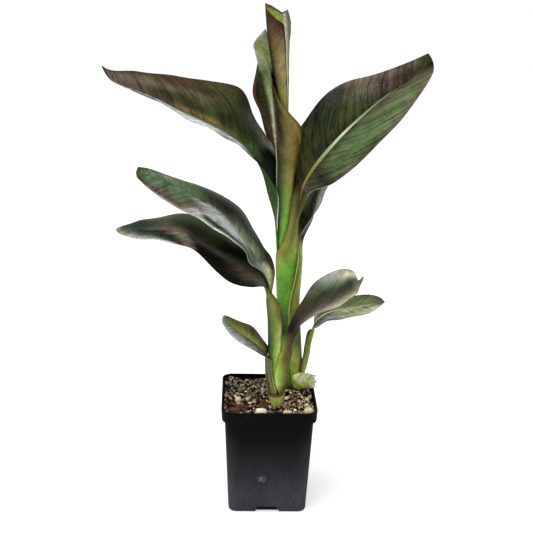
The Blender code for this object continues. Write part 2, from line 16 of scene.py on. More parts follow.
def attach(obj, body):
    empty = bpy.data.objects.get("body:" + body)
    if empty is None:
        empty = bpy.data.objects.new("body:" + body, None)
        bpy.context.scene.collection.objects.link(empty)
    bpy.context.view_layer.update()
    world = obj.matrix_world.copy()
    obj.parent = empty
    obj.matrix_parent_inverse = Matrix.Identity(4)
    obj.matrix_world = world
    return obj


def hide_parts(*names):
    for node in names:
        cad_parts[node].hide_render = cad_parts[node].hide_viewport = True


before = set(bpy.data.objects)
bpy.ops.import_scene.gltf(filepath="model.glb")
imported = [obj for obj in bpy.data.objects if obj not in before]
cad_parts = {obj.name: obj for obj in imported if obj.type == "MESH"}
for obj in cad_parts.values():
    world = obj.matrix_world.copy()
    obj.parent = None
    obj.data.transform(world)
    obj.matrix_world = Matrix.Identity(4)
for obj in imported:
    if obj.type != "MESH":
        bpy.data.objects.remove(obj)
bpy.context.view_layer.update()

MM = 0.001

# The same driving sizes as the solid model
POT_HEIGHT = 123.0
POT_FOOT_WIDTH = 84.5
POT_SHOULDER_WIDTH = 94.6
RIM_WIDTH = 102.0
RIM_HEIGHT = 13.0
RIM_FLARE = 0.7
POT_WALL = 1.4
POT_FLOOR = 1.6
POT_CORNER_RADIUS = 9.0
FOOT_ROUNDING = 2.0
DRAIN_WIDTH = 28.0
DRAIN_TOP_WIDTH = 20.0
DRAIN_HEIGHT = 6.8
DRAIN_DEPTH = 7.0
MIX_LEVEL = 118.0
FRONT_RING_TOP = 134.7
MAIN_RING_TOP = 117.5
POT_SHOULDER = POT_HEIGHT - RIM_HEIGHT

# Edges sharper than this, in degrees, stay sharp in the shading
SHARP_EDGE = 50
POT_SHARP_EDGE = 40

# A leaf's fineness; its half thickness, and the share of it at the margin; the midrib's height on the
# painted side, as a share of the other side's; and how much fuller the main shoot's sheaths are than the
# solid model's
LEAF_ROWS = 210
HALF_COLUMNS = 24
SKIN = 0.17
THIN_EDGE = 0.35
RIB_ON_PAINTED_SIDE = 0.16
SHEATH_BULGE = 1.2

# How wide the margin's own colour is; how strong the pattern is on a sheath; and where the distances from
# the midrib and the margin stop growing, counted in their widths
EDGE_ON_BLADE = 0.75
EDGE_ON_SHEATH = 0.9
SHEATH_STREAK = 0.3
FARTHEST = 6.0

# The leaf's relief: its side veins leave the midrib and bend towards the tip by these amounts (the bend
# is for centimetres); a blade this wide to each side of the midrib has its waves at full height; they
# fade out over the last ninth of its length.  Two waves run along the margin, pleats along the veins
VEIN_SLOPE = 0.9
VEIN_BEND = 0.12
FULL_WIDTH = 18.0
MARGIN_WAVES = (5.6, 9.1)
PLEAT_LENGTH = 8.0
PLEAT_DRIFT = 17.0
PLEAT_HEIGHT = 0.26
UNEVENNESS = 0.35
UNEVEN_SIZES = (60.0, 33.0)
TIP_FADE = 9.0

# Steps between side veins and between the painted crease shades among them, in centimetres
VEIN_STEP = 0.30
PLEAT_STEP = 0.95

# ---------------------------------------------------------------------------------------------------
# Colours, written as they look in plain light, some also used for painted shade and highlights

PALETTE = {
    "soot": "#100f0a",
    "ink": "#0e170b",
    "night": "#1b2015",
    "umber": "#372719",
    "peat": "#37331c",
    "drab": "#46452f",
    "russet": "#5e4533",
    "amber": "#6b5b2a",
    "khaki": "#7f7249",
    "moss": "#3a4126",
    "teal": "#2b3a2c",
    "teal_night": "#10261b",
    "shade_green": "#20261a",
    "pine": "#2d3420",
    "ivy": "#3b4233",
    "bay": "#3b3a1f",
    "leaf": "#424a29",
    "basil": "#4f6440",
    "vein": "#54703f",
    "sap": "#456331",
    "fern": "#37501b",
    "grass": "#617f3f",
    "vivid": "#7cbf45",
    "sage": "#667750",
    "jade": "#557559",
    "stone": "#4f574c",
    "ash": "#6b775f",
    "willow": "#82927c",
    "silver": "#9ea4a2",
    "pearl": "#bcc1c2",
    "slate": "#545560",
    "sand": "#a69e89",
    "taupe": "#827a6c",
    "dark_taupe": "#57524a",
    "bronze": "#5b5440",
    "mauve": "#6a6158",
    "plum": "#4c3f38",
    "wine": "#4a3325",
    "rust": "#80502c",
    "olive": "#84883f",
    "reed": "#656538",
    "gold": "#8b7a3a",
    "citron": "#a3a84c",
    "straw": "#a89b62",
    "clover": "#6aa53a",
    "fresh": "#82b044",
    "lime": "#9ac04e",
    "melon": "#b6cf66",
    "sunlit": "#cfe57a",
    "snow": "#eceee4",
    "cream": "#d2d7ae",
    "glow": "#f2f4d2",
    "bulb_green": "#bcc862",
    "ring_tan": "#a67a45",
    "celery": "#97a671",
    "rib_olive": "#6c6a43",
    "rib_pink": "#7d6a52",
    "rosy": "#9a8375",
    "pale": "#c3c4b0",
    "frost": "#c6ccd2",
}


def linear(code):
    """A colour as three light amounts, from its six-digit code."""
    channels = np.array([int(code[i:i + 2], 16) for i in (1, 3, 5)]) / 255
    return np.where(channels > 0.04045, ((channels + 0.055) / 1.055) ** 2.4, channels / 12.92)


COLOURS = {name: linear(code) for name, code in PALETTE.items()}


# ---------------------------------------------------------------------------------------------------
# Curves and sections, as in the solid model


def unit(vectors):
    """The vectors scaled to length one."""
    return vectors / np.maximum(np.linalg.norm(vectors, axis=-1, keepdims=True), 1e-9)


def ease(t):
    """Zero to one with a smooth start and end: 3t squared minus 2t cubed, held outside 0 to 1."""
    t = np.clip(t, 0, 1)
    return t * t * (3 - 2 * t)


def smooth(rows, count):
    """count rows along a smooth curve through the given rows of points, and each one's place in the
    list: a cubic in each interval, whose slopes weigh the two neighbouring chords by length."""
    rows = np.asarray(rows, float)
    tail = (-1,) + (1,) * (rows.ndim - 1)
    step = np.diff(rows, axis=0)
    span = np.sqrt(np.linalg.norm(step.reshape(len(step), -1), axis=1))
    place = np.concatenate([[0.0], np.cumsum(span)])
    slope = step / span.reshape(tail)
    tangent = np.empty_like(rows)
    before, after = span[:-1].reshape(tail), span[1:].reshape(tail)
    tangent[1:-1] = (slope[:-1] * after + slope[1:] * before) / (before + after)
    tangent[0] = (3 * slope[0] - tangent[1]) / 2
    tangent[-1] = (3 * slope[-1] - tangent[-2]) / 2
    wanted = np.linspace(0, place[-1], count)
    cell = np.clip(np.searchsorted(place, wanted, side="right") - 1, 0, len(span) - 1)
    width = span[cell].reshape(tail)
    share = (wanted - place[cell]) / span[cell]
    f = share.reshape(tail)
    points = (
        rows[cell] * (1 + 2 * f) * (1 - f) ** 2
        + tangent[cell] * width * f * (1 - f) ** 2
        + rows[cell + 1] * f * f * (3 - 2 * f)
        + tangent[cell + 1] * width * f * f * (f - 1)
    )
    return points, cell + share


def wrap(centre, radius, angles, rise=(0.0,)):
    """A leaf's cross-section where it clasps a stem: an arc about centre from the first angle to the
    second.  Two radii make it a spiral.  rise lifts it by these heights, evenly spread along the arc."""
    inner, outer = radius if isinstance(radius, tuple) else (radius, radius)

    def points(v, _tangent):
        share = (v + 1) / 2
        angle = np.radians(angles[0] + (angles[1] - angles[0]) * share)
        reach = inner + (outer - inner) * share
        height = np.interp(share, np.linspace(0, 1, len(rise)), rise)
        return np.array(centre) + np.stack([reach * np.cos(angle), reach * np.sin(angle), height], 1)

    return points


def across(left, midrib, right, arch):
    """A leaf's cross-section where its blade is open: two halves from the midrib to the margins, each
    arched to its upper side by a share of its own width, one share for both or a left and a right one."""
    left, midrib, right = (np.array(p, float) for p in (left, midrib, right))
    arches = np.broadcast_to(arch, 2)

    def points(v, tangent):
        on_left = v[:, None] < 0
        side = np.where(on_left, left - midrib, right - midrib)
        height = np.where(on_left, arches[0], arches[1]) * np.linalg.norm(side, axis=1)[:, None]
        upward = unit(np.cross(side * np.where(on_left, -1.0, 1.0), tangent))
        s = np.abs(v)[:, None]
        return midrib + s * side + height * np.sin(np.pi * s) * upward

    return points


MAIN_LINE = [
    (30, 31, 94), (28, 30.5, 118), (23, 28.5, 172), (19, 26, 222),
    (17, 24.5, 265), (15, 23.5, 290), (12.5, 21.5, 329), (11.5, 20, 352),
]
FRONT_LINE = [
    (9, -23, 94), (7.9, -23, 124), (6.4, -23, 135), (5, -22, 188.5), (4, -21.5, 220), (1, -21, 240),
]
SEAT_GAP = 0.35
MAIN_SEAT = MAIN_RING_TOP + SEAT_GAP
FRONT_SEAT = FRONT_RING_TOP + SEAT_GAP


def centre_at(centreline, height, fineness):
    """The level place of a smooth centreline at a height, or at each of several."""
    line = smooth(centreline, fineness)[0]
    return tuple(np.interp(height, line[:, 2], line[:, k]) for k in range(2))


def main_wrap(height, radius, angles):
    """A sheath's section centred on the main shoot.  The sheaths bulge a little past the solid ones."""
    return wrap(centre_at(MAIN_LINE, height, 80) + (height,), radius * SHEATH_BULGE, angles)


# ---------------------------------------------------------------------------------------------------
# Leaves.  Each is a list of cross-sections from its root to its tip.

LEAVES = {
    "upper_left_leaf": [
        main_wrap(MAIN_SEAT, 7.4, (215, 110)),
        main_wrap(172, 7.8, (200, 110)),
        main_wrap(222, 8.3, (195, 110)),
        main_wrap(265, 8.7, (198, 110)),
        main_wrap(311, 8.8, (222, 125)),
        across((4.5, 10, 344), (-5, 20, 341), (5, 30, 346), 0.25),
        across((-12.5, 4, 373), (-14, 17, 372), (5, 31, 382), (0.1, 0.2)),
        across((-28.5, -7, 390), (-25, 13, 388), (-6, 36, 397), (0.06, 0.1)),
        across((-46, -15, 404), (-44, 8, 405), (-21.8, 34, 421.5), (0.06, 0.1)),
        across((-66, -19, 415.3), (-66, 4, 416.5), (-35.5, 28, 450), (0.06, 0.1)),
        across((-89, -20, 425), (-88, 1, 426.5), (-67, 26, 456), (0.06, 0.1)),
        across((-115, -16, 441), (-115, -1, 438), (-104, 20, 462), (0.06, 0.1)),
        across((-142, -10, 451), (-142, -2, 449), (-137, 9, 466), (0.06, 0.1)),
        across((-163, -5, 459), (-163, -3, 461), (-163, 0, 468), 0.05),
        across((-171, -3.3, 471), (-171, -3, 472), (-171, -2.7, 472.5), 0),
    ],
    "upper_right_leaf": [
        main_wrap(MAIN_SEAT, 8.9, (-215, -20)),
        main_wrap(172, 9.2, (-205, -45)),
        main_wrap(222, 9.6, (-205, -45)),
        main_wrap(265, 9.9, (-180, -30)),
        main_wrap(278, 10.4, (-150, -18)),
        wrap((15.8, 22.8, 291), 11.8, (-118, -5)),
        wrap((18.5, 20.5, 316), 10, (-98, 0)),
        across((19, 16, 337), (28, 9, 337), (36, 17, 337), 0.2),
        across((20, 26, 355), (31, 12, 352), (40, 7, 348), 0.05),
        across((19, 32, 376), (40, 14, 369), (58, 2, 356), 0.05),
        across((20.5, 33, 396), (53, 17, 386), (80, 2, 373), 0.05),
        across((31.5, 32, 417), (71, 21, 406), (104, 5, 397), 0.05),
        across((53, 32, 445), (90, 24, 424), (129, 10, 424), 0.05),
        across((77, 32, 459), (113, 26, 444), (148, 16, 450), 0.05),
        across((112, 32, 469), (136, 28, 459), (159, 22, 468), 0.05),
        across((142, 30, 482), (149, 28, 474), (160, 27, 479), 0.05),
        across((154, 29, 488), (154.3, 29, 487.7), (155, 29, 488), 0),
    ],
    "middle_left_leaf": [
        wrap((5, -22, 188.5), 5.9, (250, 100)),
        wrap((4, -21.5, 222), 5.8, (250, 100)),
        wrap((1.8, -20.5, 242.5), 4, (240, 110)),
        across((-10, -25, 269), (-6, -20, 265), (3, -11, 267), 0.2),
        across((-24, -34, 282), (-14, -18, 278), (-1, -2, 279), 0.12),
        across((-29, -42, 297), (-22, -17, 290), (-8, 6, 287), (0.08, 0.1)),
        across((-44, -46, 311), (-37, -16, 309), (-18, 14, 302), (0.06, 0.1)),
        across((-60, -46, 321), (-54, -14, 328), (-32, 17, 324), (0.06, 0.1)),
        across((-77, -44, 332), (-71, -13, 340), (-53, 17, 340), (0.06, 0.1)),
        across((-95, -38, 338), (-91, -12, 351), (-78, 14, 351), (0.06, 0.1)),
        across((-114, -29, 348), (-112, -12, 362), (-104, 8, 360), (0.06, 0.1)),
        across((-129, -20, 357), (-129, -12, 367), (-126, -3, 371), 0.05),
        across((-138, -13, 364), (-139, -12, 369), (-137, -10, 374), 0),
    ],
    "lower_left_leaf": [
        wrap((7, -23, FRONT_SEAT), 5.4, (-75, -265)),
        wrap((6.6, -22.9, 142), 6.9, (-68, -264)),
        wrap((5, -22, 188.5), 7.7, (-35, -260)),
        wrap((4.4, -21.5, 218.5), 8.3, (-40, -250)),
        wrap((1.6, -21, 238.5), 7.4, (-48, -245)),
        across((-7, -27, 254), (-8, -21, 252), (-3, -14, 256), 0.2),
        across((-21, -33, 256), (-16, -20, 265), (-8, -6, 271), 0.1),
        across((-38, -42, 262), (-30, -21, 278), (-21, 6, 283), 0.1),
        across((-57, -50, 277), (-50, -23, 288), (-40, 16, 296), 0.1),
        across((-75, -50, 297), (-68, -25, 299), (-61, 19, 309), 0.08),
        across((-93, -47, 304), (-88, -26, 311), (-86, 16, 320), (0.06, 0.08)),
        across((-115, -40, 306), (-110, -26, 312), (-111, 6, 320), (0.05, 0.08)),
        across((-139, -32, 306), (-134, -26, 312), (-135, -8, 318), (0.04, 0.08)),
        across((-155, -25, 308), (-153, -23, 312), (-153, -18, 315), 0),
        across((-159, -22, 311), (-159, -22, 312), (-159, -21, 313), 0),
    ],
    "small_left_leaf": [
        wrap((6.6, -23, FRONT_SEAT), 6.5, (-82, -290)),
        wrap((6, -23, 142), 8.4, (-92, -276)),
        wrap((4.8, -23, 158), 9.7, (-106, -255)),
        wrap((2.4, -24, 175.5), 8.0, (-106, -232)),
        across((-7.6, -30, 179), (-6, -26.5, 182), (-1.8, -21, 184), 0.2),
        across((-17, -36, 187), (-16, -28, 193), (-8, -18, 193), 0.1),
        across((-31, -42, 198), (-28, -30, 203), (-18, -17, 206), (0.08, 0.1)),
        across((-43, -42, 208), (-40, -32, 213), (-31, -20, 213), (0.08, 0.1)),
        across((-51, -38, 219), (-48, -33, 222), (-43, -26, 221), 0.04),
        across((-51, -34, 223), (-50, -33, 225), (-48, -32, 225), 0),
    ],
    "folded_right_leaf": [
        wrap((8, -23, FRONT_SEAT), 7.2, (-68, -20)),
        wrap((8, -22.5, 148.5), 10.3, (-100, -15)),
        wrap((9, -21.5, 162), 11, (-112, -12)),
        wrap((12.5, -20.5, 178), 11.1, (-111, -32)),
        across((16.5, -25, 197), (21.5, -27, 200), (27, -17, 199), 0.2),
        across((17, -29, 209), (28, -22, 208), (34, -8, 214), 0.1),
        across((22, -38, 227), (39, -20, 217), (44, 0, 228), 0.1),
        across((30, -45, 247), (52, -20, 225), (58, 4, 241), 0.1),
        across((43, -49, 269), (69, -22, 232), (71, 2, 251), 0.1),
        across((66, -47, 281), (81, -26, 243), (82, -6, 256), (0.12, 0.1)),
        across((82, -42, 277), (88, -30, 251), (88, -20, 260), (0.14, 0.06)),
        across((87, -35, 266), (90, -29, 258), (93, -24, 263), (0.1, 0.05)),
        across((92, -31, 269), (93.5, -29, 266), (95, -27, 270), 0),
    ],
    "small_right_leaf": [
        main_wrap(MAIN_SEAT, 11.2, (-50, 40)),
        main_wrap(127, 11.2, (-50, 40)),
        across((35, 19, 144), (41, 25, 142), (42, 35, 139), 0.15),
        across((38, 22, 158), (42, 27, 156), (45, 34, 154), 0.3),
        across((40, 27, 171), (42, 27, 171), (47, 34, 170), 0.35),
        across((43, 26, 186), (46, 27, 185), (50, 34, 184), 0.3),
        across((51, 16, 194), (53, 28, 198), (51, 38, 199), 0.1),
        across((63, 4, 206), (67, 25, 209), (65, 42, 212), (0.08, 0.1)),
        across((79, -4, 212), (87, 22, 214), (85, 41, 220), (0.08, 0.1)),
        across((98, -2, 216), (104, 18, 219), (106, 33, 227), (0.06, 0.08)),
        across((114, 6, 220), (117, 16, 223), (119, 22, 228), 0.04),
        across((123, 13.7, 224), (124, 14, 225), (124, 14.4, 225.4), 0),
    ],
    "back_right_leaf": [
        main_wrap(MAIN_SEAT, 10.5, (100, -100)),
        main_wrap(172, 10.8, (90, -95)),
        main_wrap(222, 11.2, (75, -85)),
        wrap((19.8, 25.5, 247.5), 13.6, (70, -68)),
        wrap((20.8, 26, 271), 13.2, (75, -56)),
        across((29, 38, 287), (34.5, 31, 290), (29, 20, 293), 0.15),
        across((27, 42, 314), (43, 33, 312), (46, 20, 321), 0.06),
        across((36, 54, 335), (50, 40, 337), (56, 24, 345), 0.05),
        across((44, 64, 364), (61, 48, 364), (70, 34, 370), 0.05),
        across((57, 68, 393), (74, 54, 395), (83, 42, 396), 0.05),
        across((74, 66, 421), (87, 58, 422), (93, 48, 422), 0.05),
        across((94, 60, 443), (95, 60, 442), (96, 59, 442), 0),
    ],
    "clasping_leaf": [
        main_wrap(MAIN_SEAT, 5.9, (-240, -20)),
        main_wrap(172, 6.1, (-240, -20)),
        main_wrap(222, 6.1, (-240, -20)),
        main_wrap(265, 6.5, (-240, 0)),
        main_wrap(290, 6.8, (-215, 20)),
        main_wrap(329, 7.0, (-165, 40)),
        wrap((12, 20, 354.5), 9.4, (-162, 60)),
        wrap((13, 18.5, 378), 11.2, (-160, 40)),
        wrap((13.3, 17.6, 391), 12.6, (-160, 30)),
        wrap((13.5, 17, 400), 13.6, (-160, 20)),
        wrap((13, 16.5, 413.5), 14, (-160, -15)),
        wrap((11.5, 16, 428), 13.6, (-160, -75)),
        wrap((10.3, 15.5, 440), 12.7, (-160, -118)),
        wrap((9, 15, 453), 12, (-160, -153)),
    ],
    "half_rolled_leaf": [
        main_wrap(318.5, 5.4, (-140, -250)),
        wrap((11.3, 19.7, 351.5), 5.5, (-140, -250)),
        wrap((10.8, 19.1, 364), 5.5, (-150, -255)),
        across((4.8, 15.6, 379), (4.9, 18.8, 377), (6, 24, 376), 0.1),
        across((0, 13, 393), (3.4, 17.5, 391), (0.5, 25, 389), 0.1),
        across((-3, 8, 404), (4, 17.5, 405), (-8, 26, 402), 0.1),
        across((-7, 6, 426), (4, 17.5, 425), (-15, 27, 425), 0.1),
        across((-12, 5, 449), (2.6, 18, 448.5), (-23, 29, 445), 0.12),
        across((-16, 5, 467), (-0.8, 18.5, 466), (-20, 27, 467), 0.12),
        across((-22, 6, 488), (-4, 17.5, 483), (-17, 25, 486), 0.1),
        across((-23, 8, 496), (-7.5, 17.5, 498), (-16, 22, 495), 0.08),
        across((-12, 17, 509), (-11.5, 17.5, 509.3), (-12, 18, 509.5), 0),
    ],
    "spear_leaf": [
        wrap((11.5, 20, 346), (3.7, 4.5), (0, -400)),
        wrap((9, 16.5, 414.5), (3.8, 4.7), (0, -400)),
        wrap((7.5, 14, 445), (4.6, 5.8), (0, -400)),
        wrap((4.5, 12, 470), (6.4, 8.2), (20, -406)),
        wrap((1.5, 10.5, 494.5), (8.7, 11.0), (30, -410)),
        wrap((0.2, 9, 512), (9.0, 13.4), (35, -424), (-5, -6, -4, 0, 2, 3, 2, 3, 2)),
        wrap((-2.4, 8.5, 522.5), (8.7, 12.0), (35, -419), (-9, -8.5, -3.5, 4.5, 12, 9.5, 3, 6.5, 2.5)),
    ],
    "cut_leaf_stub": [
        across((27, 18.4, 136), (27, 10, 133), (28, 18.4, 123), 0.3),
        across((35, 16, 139), (35, 5, 136), (35, 12, 124), 0.3),
        across((44, 14, 139), (43, 3, 136), (44, 10, 125), 0.3),
        across((51, 12, 138), (51, 2, 137), (51, 9, 127), 0.3),
    ],
}

# How each leaf is finished: its material's slot; the stations between which its sheath turns into blade;
# the midrib's half-width at the blade's base, and its height; the margin's waviness; how strong the
# pattern along its veins is
FINISH = {
    "upper_left_leaf": ("leaf", (4.6, 6.2), 2.1, 1.5, 0.6, 0.8),
    "upper_right_leaf": ("leaf", (6.6, 8.2), 2.6, 1.4, 0.7, 1.0),
    "middle_left_leaf": ("leaf", (2.6, 4.2), 1.3, 1.1, 0.2, 0.8),
    "lower_left_leaf": ("leaf", (4.6, 6.2), 1.3, 1.1, 0.7, 0.6),
    "small_left_leaf": ("leaf", (3.4, 4.6), 1.3, 0.7, 0.4, 0.6),
    "folded_right_leaf": ("leaf", (3.4, 4.8), 0.8, 0.8, 0.4, 0.5),
    "small_right_leaf": ("leaf", (5.0, 6.4), 1.1, 0.7, 0.7, 0.7),
    "back_right_leaf": ("leaf", (4.4, 6.0), 1.8, 1.2, 0.8, 0.9),
    "clasping_leaf": ("young_leaf", (6.0, 9.0), 1.0, 0.4, 0.2, 0.3),
    "half_rolled_leaf": ("young_leaf", (2.6, 4.0), 0.5, 0.4, 0.3, 0.5),
    "spear_leaf": ("young_leaf", (1.5, 3.0), 0.3, 0.1, 0.2, 0.5),
    "cut_leaf_stub": ("stem", (-2.0, -1.0), 1.0, 0.6, 0.5, 0.9),
}

# How far a blade's under side turns to mauve, unless it is told otherwise
UNDER_MAUVE = 0.6
UNDER = {"upper_left_leaf": 0.25, "half_rolled_leaf": 0.0}

# The cut leaf's torn end and its extra thickness
RAGGED = {"cut_leaf_stub": 2.6}
THICKER = {"cut_leaf_stub": 0.35}
